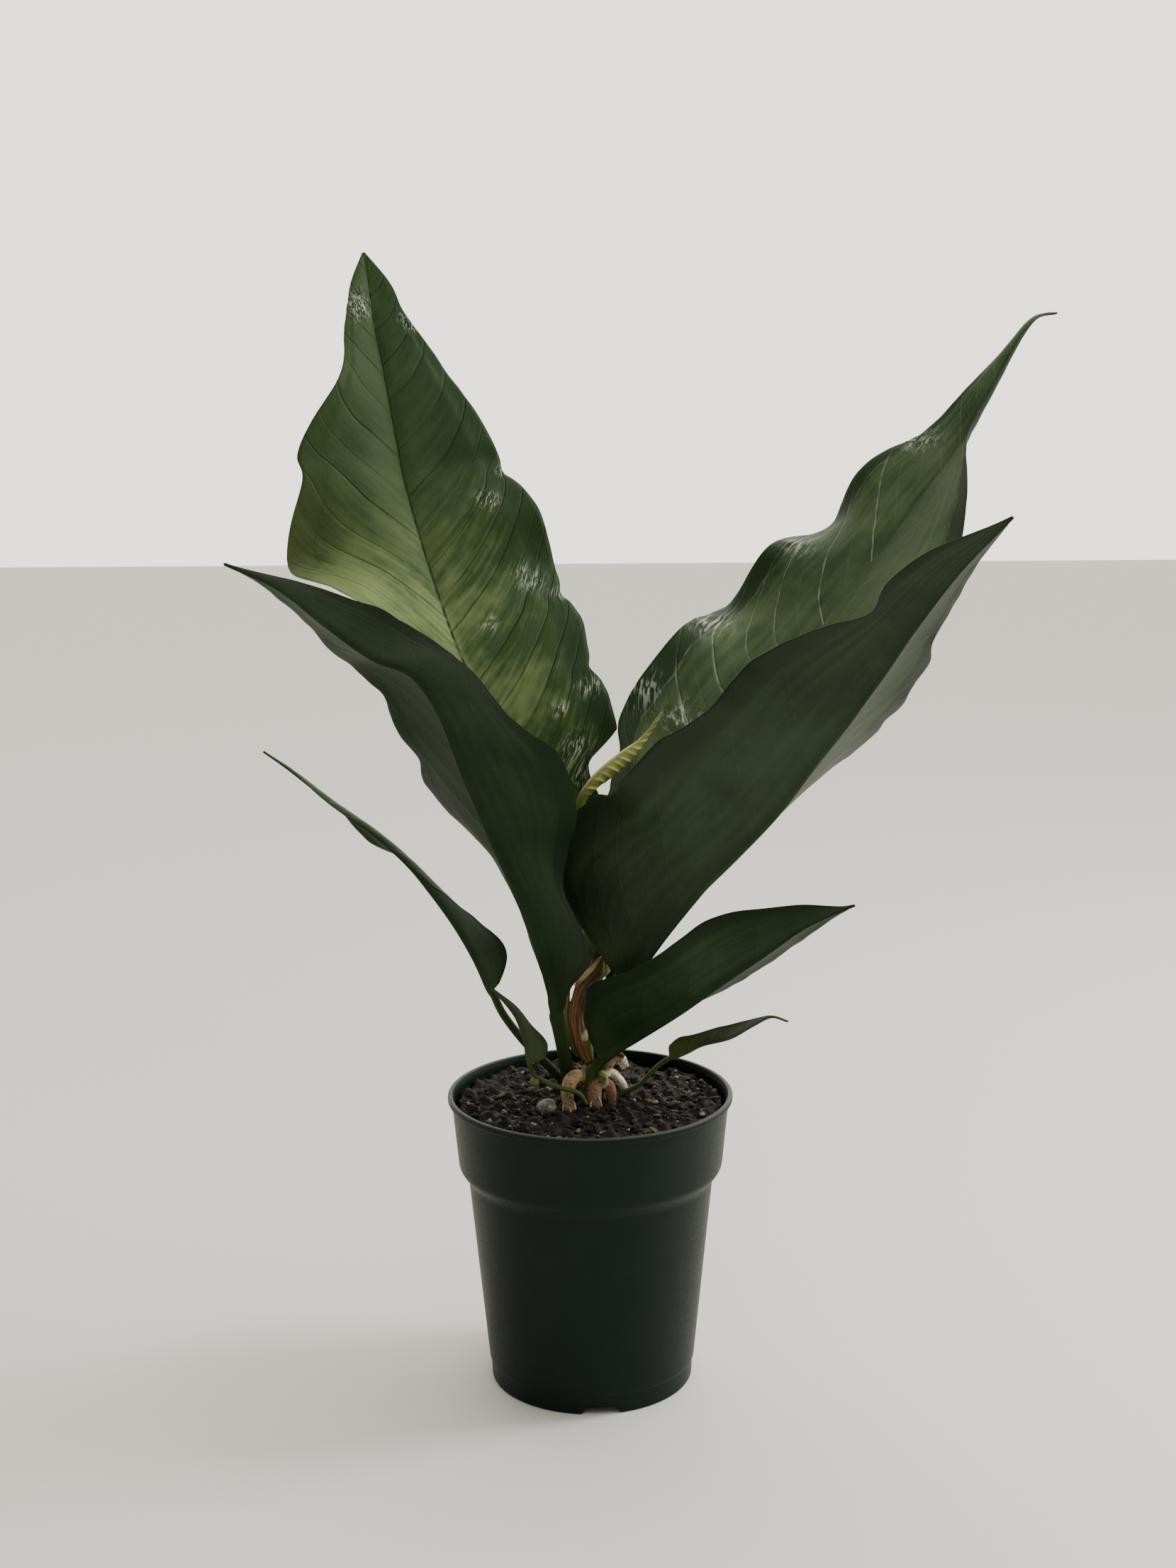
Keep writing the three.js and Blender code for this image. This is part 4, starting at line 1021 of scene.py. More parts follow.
def vein_lines(tree, at):
    """How much of a vein there is, the way to the nearest side vein, and the way past the margin's."""
    wobble = add(tree, "ShaderNodeTexNoise", {"Vector": at.place, "Scale": 1 / (WOBBLE_SIZE * MM), "Detail": 2.0})
    passed = add(tree, "ShaderNodeMath", {0: wobble.outputs["Fac"], 1: SIDE_WOBBLE, 2: at.vein_count},
                 operation="MULTIPLY_ADD")
    nearest = add(tree, "ShaderNodeMath", {0: passed.outputs[0], 1: 1.0}, operation="PINGPONG").outputs[0]
    line = add(tree, "ShaderNodeMapRange", {"Value": nearest, "From Min": VEIN_REACH * 0.3,
               "From Max": VEIN_REACH * 1.6, "To Min": 1.0, "To Max": 0.0}, interpolation_type="SMOOTHSTEP")
    strong = add(tree, "ShaderNodeMath", {0: line.outputs[0], 1: at.vein_strength}, operation="MULTIPLY")
    midway = add(tree, "ShaderNodeMapRange", {"Value": nearest, "From Min": 1 - VEIN_REACH * 1.4,
                 "From Max": 1 - VEIN_REACH * 0.3, "To Min": 0.0, "To Max": MIDWAY_SHOWN},
                 interpolation_type="SMOOTHSTEP")
    both = add(tree, "ShaderNodeMath", {0: strong.outputs[0], 1: midway.outputs[0]}, operation="MAXIMUM")
    inside = add(tree, "ShaderNodeMapRange", {"Value": at.share, "From Min": MARGIN_VEIN - 0.02,
                 "From Max": MARGIN_VEIN + 0.08, "To Min": 1.0, "To Max": 0.25}, interpolation_type="SMOOTHSTEP")
    side_veins = add(tree, "ShaderNodeMath", {0: both.outputs[0], 1: inside.outputs[0]}, operation="MULTIPLY")
    drift = add(tree, "ShaderNodeMath", {0: wobble.outputs["Fac"], 1: MARGIN_WOBBLE,
                2: -MARGIN_VEIN - MARGIN_WOBBLE / 2}, operation="MULTIPLY_ADD")
    past_margin_vein = add(tree, "ShaderNodeMath", {0: at.share, 1: drift.outputs[0]}, operation="ADD").outputs[0]
    off_margin_vein = add(tree, "ShaderNodeMath", {0: past_margin_vein}, operation="ABSOLUTE")
    margin_vein = add(tree, "ShaderNodeMapRange", {"Value": off_margin_vein.outputs[0], "From Min": 0.003,
                      "From Max": 0.012, "To Min": MARGIN_SHOWN, "To Max": 0.0}, interpolation_type="SMOOTHSTEP")
    veins = add(tree, "ShaderNodeMath", {0: side_veins.outputs[0], 1: margin_vein.outputs[0]}, operation="MAXIMUM")
    lines = add(tree, "ShaderNodeMath", {0: veins.outputs[0], 1: at.rib}, operation="MAXIMUM")
    return lines.outputs[0], nearest, past_margin_vein


print("a side vein fades out", round(VEIN_WIDTH * 1.6 / 2, 2), "mm from its middle")

# %% [markdown]
# The blade isn't one green. It has patches of a deeper and a paler green, some centimetres across,
# and streaks, which run lengthways and meet at the tip. On the broad back leaf, which faces the light,
# they run along the side veins instead; its left half, which takes the light, is painted paler with
# hardly a band, its right-hand band is painted darker as shade, and the blade is painted darker
# towards its tip as shade. The band outside the margin vein is darker on every leaf, partly in its own
# green and partly as painted shade. Where the blade is puckered it also has fine wrinkles, which run
# along the side veins.

# %% Greens and wrinkles of a leaf
BLOTCH_SIZE = 45.0
STREAK_WIDTH = 0.07
STREAK_LENGTH = 60.0
STREAKS_PER_VEIN = 2.5
STREAKS_OUT = 3.0
# Painted light and shade on the back leaf: how much paler its left half, which faces the light, is painted, how the
# band's painted shade leans to its right half, and where its tip is painted darker as shade
LEFT_HALF_LIT = 0.26
BAND_SHADE = 0.85
BAND_SHADE_BY_SIDE = (-0.4, 0.6)
TIP_SHADE = (230.0, 365.0)
WRINKLE_SIZE = 3.2
WRINKLES_OUT = 11.0


def blade_greens(tree, at, past_margin_vein, deep, pale, band, lengthways):
    """The blade's green with its darker band and tip, how pale the patch is, and the streaks. The band is
    partly painted shade, and on the back leaf the left half is painted paler as light and the tip darker as shade.
    """
    blotch = add(tree, "ShaderNodeTexNoise", {"Vector": at.place, "Scale": 1 / (BLOTCH_SIZE * MM), "Detail": 4.0,
                 "Roughness": 0.6})
    if lengthways:
        streak_across = add(tree, "ShaderNodeMath", {0: at.across, 1: 1 / STREAK_WIDTH}, operation="MULTIPLY")
        streak_along = add(tree, "ShaderNodeMath", {0: at.along, 1: 1 / STREAK_LENGTH}, operation="MULTIPLY")
    else:
        streak_across = add(tree, "ShaderNodeMath", {0: at.vein_count, 1: STREAKS_PER_VEIN}, operation="MULTIPLY")
        streak_along = add(tree, "ShaderNodeMath", {0: at.across, 1: STREAKS_OUT}, operation="MULTIPLY")
    streak_place = add(tree, "ShaderNodeCombineXYZ", {"X": streak_across.outputs[0], "Y": streak_along.outputs[0]})
    streak = add(tree, "ShaderNodeTexNoise", {"Vector": streak_place.outputs[0], "Scale": 1.0, "Detail": 3.0})
    mixed = add(tree, "ShaderNodeMath", {0: streak.outputs["Fac"], 1: 0.6, 2: blotch.outputs["Fac"]},
                operation="MULTIPLY_ADD")
    # Painted light: on the back leaf the left half is pushed towards the paler green
    lit_lean = add(tree, "ShaderNodeMath", {0: at.across, 1: 0.0 if lengthways else LEFT_HALF_LIT, 2: mixed.outputs[0]},
                  operation="MULTIPLY_ADD")
    patch = add(tree, "ShaderNodeMapRange", {"Value": lit_lean.outputs[0], "From Min": 0.6, "From Max": 1.02})
    skin = add(tree, "ShaderNodeMix", {"Factor": patch.outputs[0], 6: linear(deep), 7: linear(pale)},
               data_type="RGBA")
    # The darker band outside the margin vein is partly the blade's own green and partly painted shade; on the back leaf
    # the painted shade is heavier on the right half
    outer = add(tree, "ShaderNodeMapRange", {"Value": past_margin_vein, "From Min": -0.06, "From Max": 0.03,
                "To Min": 0.0, "To Max": BAND_SHADE}, interpolation_type="SMOOTHSTEP")
    slope, middle = (0.0, 1.0) if lengthways else BAND_SHADE_BY_SIDE
    band_side_shade = add(tree, "ShaderNodeMath", {0: at.across, 1: slope, 2: middle}, operation="MULTIPLY_ADD")
    outermost = add(tree, "ShaderNodeMath", {0: outer.outputs[0], 1: band_side_shade.outputs[0]}, operation="MULTIPLY")
    # Painted shade: the back leaf darkens towards its tip
    tip = add(tree, "ShaderNodeMapRange", {"Value": at.along, "From Min": TIP_SHADE[0], "From Max": TIP_SHADE[1],
              "To Min": 0.0, "To Max": 0.0 if lengthways else BAND_SHADE}, interpolation_type="SMOOTHSTEP")
    darker = add(tree, "ShaderNodeMath", {0: outermost.outputs[0], 1: tip.outputs[0]}, operation="MAXIMUM")
    banded = add(tree, "ShaderNodeMix", {"Factor": darker.outputs[0], 6: skin.outputs[2], 7: linear(band)},
                 data_type="RGBA")
    return banded.outputs[2], patch.outputs[0], streak.outputs["Fac"]


def blade_wrinkles(tree, at):
    """Crooked wrinkles that run along the side veins."""
    wrinkle_across = add(tree, "ShaderNodeMath", {0: at.vein_count, 1: VEIN_SPACING / 2 / WRINKLE_SIZE},
                         operation="MULTIPLY")
    wrinkle_along = add(tree, "ShaderNodeMath", {0: at.across, 1: WRINKLES_OUT}, operation="MULTIPLY")
    wrinkle_place = add(tree, "ShaderNodeCombineXYZ", {"X": wrinkle_across.outputs[0], "Y": wrinkle_along.outputs[0]})
    return add(tree, "ShaderNodeTexNoise", {"Vector": wrinkle_place.outputs[0], "Scale": 1.0, "Detail": 2.5,
               "Distortion": 1.4}).outputs["Fac"]


print("wrinkles between two side veins:", round(VEIN_SPACING / WRINKLE_SIZE))

# %% [markdown]
# The skin puts these together. Light catches only parts of a vein, so pale veins are broken here and
# there. The crests of the wrinkles get a painted whitish highlight and are smoother than the rest, on
# faces whose veins show well. The relief is a bump: pressed-in or raised veins, the streaks, a fine
# grain and the wrinkles.

# %% Leaf skin
GAP_LENGTH = 7.0
GRAIN_SIZE = 2.2  # a leaf's real grain is finer than a millimetre; this one is coarse enough to show
PALE_DULLER = 0.1
WRINKLE_SHINE = 0.25
GRAIN_RELIEF = 0.22
STREAK_RELIEF = 0.5
WRINKLE_RELIEF = 3.0
# GLINT is the colour of the painted highlight that lies on the crests of wrinkles
GLINT = "#cdd3c0"
FRESH_GREEN = "#66763a"


def leaf_skin(name, deep, pale, band, vein, dull, shine, shown, raised, lengthways):
    """One face of a grown leaf, leathery under a thin wax: satin above, where light catches veins and a
    painted whitish highlight lies on the wrinkle crests, and duller below, its colour darkened as painted shade."""
    material, tree, shader = start_material(name, Specular_IOR_Level=shine, IOR=1.45)
    at = read_labels(tree)
    lines, nearest, past_margin_vein = vein_lines(tree, at)
    green, patch, streak = blade_greens(tree, at, past_margin_vein, deep, pale, band, lengthways)
    wrinkle = blade_wrinkles(tree, at)

    gaps = add(tree, "ShaderNodeTexNoise", {"Vector": at.place, "Scale": 1 / (GAP_LENGTH * MM), "Detail": 1.0})
    broken = add(tree, "ShaderNodeMapRange", {"Value": gaps.outputs["Fac"], "From Min": 0.36, "From Max": 0.6,
                 "To Min": 0.25, "To Max": 1.0})
    partly = add(tree, "ShaderNodeMath", {0: lines, 1: broken.outputs[0]}, operation="MULTIPLY")
    shown_lines = add(tree, "ShaderNodeMath", {0: partly.outputs[0], 1: shown}, operation="MULTIPLY")
    veined = add(tree, "ShaderNodeMix", {"Factor": shown_lines.outputs[0], 6: green, 7: linear(vein)},
                 data_type="RGBA")
    greener = add(tree, "ShaderNodeMix", {"Factor": at.fresh, 6: veined.outputs[2], 7: linear(FRESH_GREEN)},
                  data_type="RGBA")
    # Painted highlight: where the blade is puckered, the crests of the wrinkles are mixed towards a whitish glint
    # colour
    painted_glint = add(tree, "ShaderNodeMapRange", {"Value": wrinkle, "From Min": 0.53, "From Max": 0.6,
                "To Min": 0.0, "To Max": max(1.8 * shown - 0.3, 0.0)})
    fading = add(tree, "ShaderNodeMath", {0: at.wrinkled, 1: 1.5}, operation="POWER")
    glint_shown = add(tree, "ShaderNodeMath", {0: painted_glint.outputs[0], 1: fading.outputs[0]}, operation="MULTIPLY")
    colour = add(tree, "ShaderNodeMix", {"Factor": glint_shown.outputs[0], 6: greener.outputs[2], 7: linear(GLINT)},
                 data_type="RGBA")
    tree.links.new(colour.outputs[2], shader.inputs["Base Color"])

    uneven = add(tree, "ShaderNodeMath", {0: patch, 1: PALE_DULLER, 2: dull}, operation="MULTIPLY_ADD")
    roughness = add(tree, "ShaderNodeMath", {0: at.wrinkled, 1: -WRINKLE_SHINE, 2: uneven.outputs[0]},
                    operation="MULTIPLY_ADD")
    tree.links.new(roughness.outputs[0], shader.inputs["Roughness"])

    wide_line = add(tree, "ShaderNodeMapRange", {"Value": nearest, "From Min": 0.0, "From Max": VEIN_REACH * 4,
                    "To Min": 1.0, "To Max": 0.0}, interpolation_type="SMOOTHSTEP")
    pressed = add(tree, "ShaderNodeMath", {0: wide_line.outputs[0], 1: at.vein_strength}, operation="MULTIPLY")
    relief = add(tree, "ShaderNodeMath", {0: pressed.outputs[0], 1: raised}, operation="MULTIPLY")
    grain = add(tree, "ShaderNodeTexNoise", {"Vector": at.place, "Scale": 1 / (GRAIN_SIZE * MM), "Detail": 3.0})
    grained = add(tree, "ShaderNodeMath", {0: grain.outputs["Fac"], 1: GRAIN_RELIEF, 2: relief.outputs[0]},
                  operation="MULTIPLY_ADD")
    streaked = add(tree, "ShaderNodeMath", {0: streak, 1: STREAK_RELIEF, 2: grained.outputs[0]},
                   operation="MULTIPLY_ADD")
    folded = add(tree, "ShaderNodeMath", {0: at.wrinkled, 1: WRINKLE_RELIEF}, operation="MULTIPLY")
    height = add(tree, "ShaderNodeMath", {0: wrinkle, 1: folded.outputs[0], 2: streaked.outputs[0]},
                 operation="MULTIPLY_ADD")
    bump = add(tree, "ShaderNodeBump", {"Height": height.outputs[0], "Strength": 0.9, "Distance": 0.6 * MM})
    tree.links.new(bump.outputs["Normal"], shader.inputs["Normal"])
    return material


print("a leaf's grain is drawn", GRAIN_SIZE, "mm wide")

# %% Leaf finishes
# Two finishes for each kind of leaf, its upper face and its underside. Each row: name, deep and
# pale green, the band's and the veins' colour, dullness, shine, how much the veins show, how far
# they stand out, and whether the streaks run lengthways. The undersides' dark greens are partly
# painted shade. On the lit leaf's upper face the veins' colour is a painted shade in the pressed-in
# veins and rib.
LEAF_FINISHES = {
    "grown_leaf_lit": [
        leaf_skin("leaf_upper_lit", "#304622", "#758353", "#22361a", "#1d2c16", 0.54, 0.12, 0.6, -1.2, False),
        leaf_skin("leaf_under_lit", "#17271a", "#273a24", "#17271a", "#4f6340", 0.5, 0.25, 0.25, 0.5, True)],
    "grown_leaf": [
        leaf_skin("leaf_upper", "#34492a", "#5c6e49", "#27391f", "#b8bca4", 0.5, 0.18, 0.6, -0.8, True),
        leaf_skin("leaf_under", "#11220e", "#21361d", "#11220e", "#384c30", 0.55, 0.16, 0.12, 0.25, True)],
    "grown_leaf_front": [
        leaf_skin("leaf_upper_front", "#2c3e26", "#50603f", "#22341c", "#9aa389", 0.5, 0.2, 0.3, -0.8, True),
        leaf_skin("leaf_under_front", "#1a2816", "#2e3e29", "#1a2816", "#4b5c43", 0.5, 0.22, 0.12, 0.25, True)],
    "small_leaf": [
        leaf_skin("small_leaf_upper", "#303d26", "#44532f", "#2a3821", "#6b784e", 0.45, 0.25, 0.25, -0.6, True),
        leaf_skin("small_leaf_under", "#232f1b", "#333f26", "#232f1b", "#55603c", 0.5, 0.25, 0.2, 0.4, True)],
}
print("leaf finishes:", len(LEAF_FINISHES))

# %% [markdown]
# ## Leaf shapes
#
# Each leaf hangs on its midrib. The rib lies in an upright plane through the leaf's foot, turned by
# its heading. Rows give the rib's reach from the foot and its height, and for each half of the
# blade how wide it is and how steeply its margin is folded up. Folds that change from row to row
# are what makes the margins wave. The rows are close to the ones that the solids were made from; a
# few margins are narrower here, as they are in the photograph.
#
# The rest of a leaf's entry is small. A notch bites into a margin, or pushes it out. A pucker is
# where the blade is drawn together in wrinkles. Where the photograph shows them one by one, the
# side veins stand in a list for each half, with the sweep that says how far forward they run.

# %% Leaf tables
BLADE = 0.7
RIB_PROUD = 0.55
KEEL_DEEP = 1.35

# Angles are in degrees, lengths in millimetres, and two numbers for a base, a rib or a freshness
# are left and right, foot and tip, foot and top of the stalk. A stalk's rows hold reach, height,
# drift and radius; a blade's rows hold reach, height and drift, then width and fold on the left
# and on the right. Notch: place along the rib, 1 for left or -1 for right, reach, push outwards.
# Pucker: place along, share of the way to the margin, left being positive, and reach. Vein: place
# along and strength. Sweep: place along, and how far a vein runs forward for each millimetre out.
# Step is the way from ring to ring, fine the columns in each half, puff the swelling between veins,
# and rib_shown how well the rib shows at its foot, at 40% and at 80% of the blade.
LEAVES = {
    "leaf_back_left": dict(
        heading=126, foot=(4, 20), base=(18, 18), rib=(3.6, 0.5), finish="grown_leaf_lit", puff=0.9, fresh=(0.2, 0.1),
        veins=([(155, 0.8), (178, 0.3), (203, 0.8), (224, 0.4), (245, 1), (268, 0.5), (301, 1), (327, 0.3), (356, 0.9),
                (385, 0.5), (410, 0.8)],
               [(92, 0.8), (118, 0.9), (143, 0.9), (168, 0.8), (195, 1), (214, 0.3), (235, 1), (257, 0.8), (280, 0.7),
                (303, 0.3), (331, 0.8), (362, 0.4), (395, 0.6)]),
        # The back leaf's rib is drawn strongly in its dark vein colour, as painted shade in the rib's groove
        rib_shown=(0.3, 2.0, 1.8),
        notches=[(339, -1, 7, -3.5), (312, -1, 14, 1.5), (247, -1, 6, -3.5), (222, -1, 14, 1.5), (182, -1, 6, -3),
                 (160, -1, 14, 1.5), (455, -1, 8, -1.5)],
        puckers=[(338, -0.97, 5), (318, -0.65, 7), (261, -0.74, 10), (247, -0.96, 6), (234, -0.3, 6), (167, -0.89, 8),
                 (159, -0.59, 6), (126, -0.6, 12), (456, 0.6, 10), (444, -0.89, 6), (110, -0.85, 8)],
        step=2.2, fine=26,
        stalk=[(6, 160, 2, 4.3), (6, 190, 2, 3.8), (7, 222, 1, 3.6), (8, 240, 0, 3.6)],
        blade=[
            (8, 240, 0, 8, 45, 8, 40), (28, 274, 0, 30, 50, 26, 40), (54, 310, 0, 50, 62, 40, 43),
            (67, 326, 0, 57, 60, 41, 42), (74, 334, 0, 60, 60, 45, 41), (77, 338, 0, 61, 59, 56, 41),
            (80, 341, 0, 62, 59, 65, 41), (84, 346, 0, 64, 58, 69, 40), (114, 380, 0, 78, 50, 75, 22),
            (143, 412, 0, 88, 34, 84, 17), (166, 446, 0, 88, 14, 84, 12), (187, 482, 0, 86, -19, 80, 21),
            (205, 518, 0, 72, -1, 71, 11), (211, 536, 0, 69, -6, 64, 15), (217, 554, 0, 58, -2, 57, 16),
            (227, 585, 0, 35, 14, 41, 13), (237, 614, 0, 22, 4, 26, 13), (243, 640, 0, 13, 0, 15, 13),
            (248, 660, 0, 1, 4, 1, 13)]),
    "leaf_back_right": dict(
        heading=33, foot=(8, 19), base=(38, 4), rib=(3.4, 0.5), finish="grown_leaf", puff=0.8, fresh=(0.2, 0.1),
        sweep=[(160, 0.38), (190, 0.5), (240, 1.05), (290, 1.8)],
        veins=([(84, 0.15), (116, 0.9), (148, 1.0), (173, 0.7), (192, 0.9), (230, 0.8), (282, 0.9), (335, 0.15)],
               [(60, 0.1), (95, 0.1), (135, 0.1), (180, 0.1), (225, 0.1), (280, 0.1), (330, 0.1)]),
        rib_shown=(0.15, 0.1, 0),
        puckers=[(371, 0.8, 12), (268, 0.82, 12), (194, 0.86, 13), (130, 0.93, 12), (129, 0.5, 11)],
        step=2.2, fine=26,
        stalk=[(4, 160, 3, 4.1), (4, 195, 3, 3.6), (6, 235, 1, 3.4), (10, 262, 0, 3.4)],
        blade=[
            (10, 262, 0, 8, 45, 8, 10), (34, 302, 0, 36, 50, 34, 11), (50, 318, 0, 46, 46, 43, 10),
            (64, 333, 0, 53, 43, 54, 10), (72, 341, 0, 63, 43, 57, 9), (80, 349, 0, 68, 43, 60, 7),
            (96, 365, 0, 71, 45, 66, 5), (125, 393, 0, 70, 48, 72, 3), (154, 422, 0, 67, 22, 72, -2),
            (183, 451, 0, 60, 38, 70, -6), (212, 480, 0, 52, 9, 62, -2), (241, 510, 0, 44, 31, 46, 11),
            (270, 538, 0, 26, 26, 22, 35), (294, 569, 0, 16, 25, 14, 39), (318, 602, 0, 8, -5, 7, 38),
            (333, 616, 0, 4, 0, 4, 20), (350, 619, 0, 0.8, 0, 0.8, 20)]),
    "leaf_front_right": dict(
        heading=-40, foot=(10, 8), base=(14, 50), rib=(3.2, 0.5), finish="grown_leaf_front", puff=0.3, fresh=(0.2, 0.2),
        notches=[(270, 1, 13, -9), (226, 1, 9, -5), (281, -1, 12, -9)],
        step=2.2, fine=26,
        stalk=[(-5, 160, 0, 3.6), (-5, 184, 0, 3.5), (2, 208, 0, 3.4), (16, 238, 0, 3.2)],
        blade=[
            (16, 238, 0, 8, 20, 10, 57), (40, 269, 0, 54, 18, 77, 64), (66, 299, 0, 70, 20, 79, 67),
            (76, 309, 0, 72, 19, 73, 61), (92, 324, 0, 75, 18, 76, 52), (118, 350, 0, 73, 14, 74, 55),
            (141, 378, 0, 67, 8, 65, 48), (152, 391, 0, 59, 6, 62, 54), (163, 404, 0, 61, 3, 59, 59),
            (173, 417, 0, 52, 3, 53, 56), (184, 431, 0, 50, 2, 45, 50), (201, 454, 0, 35, 2, 32, 46),
            (226, 484, 0, 19, 7, 18, 55), (254, 511, 0, 1, 5, 1, 34)]),
    "leaf_front_left": dict(
        heading=218, foot=(-6, 9), base=(26, 8), rib=(3.3, 0.5), finish="grown_leaf", puff=0.3, fresh=(0.05, 0.14),
        notches=[(205, -1, 12, -7), (160, -1, 9, -5), (141, -1, 9, 4), (120, -1, 10, -5)],
        step=2.2, fine=26,
        stalk=[(4, 160, -5, 4.3), (6, 183, -4.5, 4.1), (13, 208, -1.5, 4.3), (16.5, 219, 0, 4.9)],
        blade=[
            (16.5, 219, 0, 5, 12, 5, 10), (18.5, 227, 0, 9, 12, 6, 10), (20, 236, 0, 14, 12, 7, 10),
            (30, 266, 0, 46, 4, 26, 23), (45, 300, 0, 43, 4, 44, 25), (54, 318, 0, 45, 20, 57, 15),
            (62, 335, 0, 53, 36, 62, 8), (78, 368, 0, 58, 32, 57, 4),
            (92, 400, 0, 56, 8, 56, -1), (110, 424, 0, 50, 8, 50, -4), (136, 436, 0, 41, 23, 41, 0),
            (162, 454, 0, 30, 30, 30, 6), (190, 475, 0, 16, 17, 16, 0), (220, 489, 0, 1, 3, 1, 0)]),
    "leaf_low_left": dict(
        heading=180, foot=(-8, 15), base=(40, -5), rib=(1.9, 0.4), finish="grown_leaf", puff=0.4, fresh=(0.1, 0.1),
        step=1.8, fine=14,
        stalk=[(0, 162, -3, 3.0), (14, 180, -2, 2.8), (29, 196, -1, 2.6), (42, 214, 0, 2.5), (48, 227, 0, 2.4)],
        blade=[
            (49, 228, 0, 4, 60, 4, 0), (57, 247, 0, 23, 58, 20, -8), (68, 267, 0, 29, 36, 25, -10),
            (81, 286, 0, 27, 21, 24, -8), (96, 305, 0, 21, 8, 21, -8), (116, 323.5, 0, 16, 8, 16, -34),
            (140, 342, 0, 11, 3, 11, -12), (162, 360, 0, 7, 10, 7, -10), (177, 371, 0, 1, 0, 1, -10)]),
    "leaf_low_right": dict(
        heading=-22, foot=(6, 4), base=(-5, 45), rib=(2.6, 0.5), finish="grown_leaf", puff=0.3, fresh=(0.8, 0.15),
        step=1.8, fine=18,
        stalk=[(-7, 162, 0, 3.8), (-6, 180, 0, 3.7), (-2, 188, 0, 2.9)],
        blade=[
            (1, 190, 0, 2.5, -5, 9, 75), (5.5, 194, 0, 3.5, -5, 17, 73), (10, 198, 0, 5, -5, 29, 71),
            (22, 206, 0, 27, -4, 43, 66), (48, 224, 0, 36, -6, 41, 58), (74, 244, 0, 35, -12, 44, 48),
            (98, 262, 0, 30, -13, 35, 64), (120, 279, 0, 19, -17, 18, 66), (136, 288, 0, 9, -18, 8, 60),
            (150, 295, 0, 1, -20, 1, 22)]),
    "leaf_small_right": dict(
        heading=-15, foot=(12, 16), base=(-5, 35), rib=(1.4, 0.4), finish="small_leaf", puff=0.2, fresh=(0.8, 0.4),
        step=1.3, fine=10,
        stalk=[(2, 162, 3, 1.8), (9, 167, 1.5, 1.6), (18, 173, 0, 1.5), (27, 183, 0, 1.5), (34, 189, 0, 1.5)],
        blade=[
            (36, 190, 0, 4, -5, 7, 62), (46, 195, 0, 10, -8, 11, 63), (55, 200, 0, 11, -10, 12, 45),
            (71, 205, 0, 9, -10, 10, 58), (84, 213, 0, 6, -12, 7, 43), (95, 219, 0, 3, -20, 4, 20),
            (105, 217, 0, 0.8, -20, 0.8, 20)]),
    "leaf_small_left": dict(
        heading=215, foot=(0, -3), base=(15, 18), rib=(1.4, 0.4), finish="small_leaf", puff=0.2, fresh=(0.8, 0.15),
        step=1.3, fine=10,
        stalk=[(4, 167, 1.5, 1.6), (12, 176, 4, 1.6), (26, 182, 2, 1.6), (36, 188, 0, 1.5), (41, 194, 0, 1.5)],
        blade=[
            (42, 198, 0, 9, 20, 5, 20), (44, 211, 0, 15, 21, 9, 28), (49, 225, 0, 12, 3, 10, 18),
            (56, 235, 0, 8, 8, 7, 8), (66, 246, 0, 0.9, 8, 0.9, 8)]),
}
print("leaves:", len(LEAVES))

# %% [markdown]
# ## Leaf builder
#
# A leaf is laid out on a grid: one ring of points for each place along it. A ring runs across the
# upper face from the left margin to the right one and back under it. The directions at each ring
# come from the rib's own curve, smoothed over a few rings, so that the blade doesn't kink.

# %% The rib and the directions beside it
SMOOTHED_OVER = 8


def leaf_track(leaf, rows):
    """The rib's points in space for rows that start with reach, height and drift."""
    turn = math.radians(leaf["heading"])
    along = np.array([math.cos(turn), math.sin(turn), 0])
    beside = np.array([-math.sin(turn), math.cos(turn), 0])
    start = np.array([*leaf["foot"], 0])
    return start + rows[:, :1] * along + rows[:, 2:3] * beside + rows[:, 1:2] * np.array([0, 0, 1])


def leaf_axes(leaf, track):
    """Unit directions up and left at every ring, smoothed over a few rings."""
    ahead = np.gradient(track, axis=0)
    ahead /= np.linalg.norm(ahead, axis=1)[:, None]
    window = np.hanning(2 * int(SMOOTHED_OVER / leaf["step"]) + 3)[1:-1]
    padded = np.pad(ahead, ((len(window) // 2,) * 2, (0, 0)), mode="edge")
    ahead = np.stack([np.convolve(padded[:, k], window / window.sum(), "valid") for k in range(3)], axis=1)
    ahead /= np.linalg.norm(ahead, axis=1)[:, None]
    turn = math.radians(leaf["heading"])
    up = np.cross(ahead, np.array([-math.sin(turn), math.cos(turn), 0]))
    up /= np.linalg.norm(up, axis=1)[:, None]
    return up, np.cross(up, ahead)


print("directions are smoothed over", SMOOTHED_OVER, "mm of the rib")

# %% Leaf grid
RIB_COLUMNS = 3
STALK_GOES_ON = 40
NARROWEST = 0.5


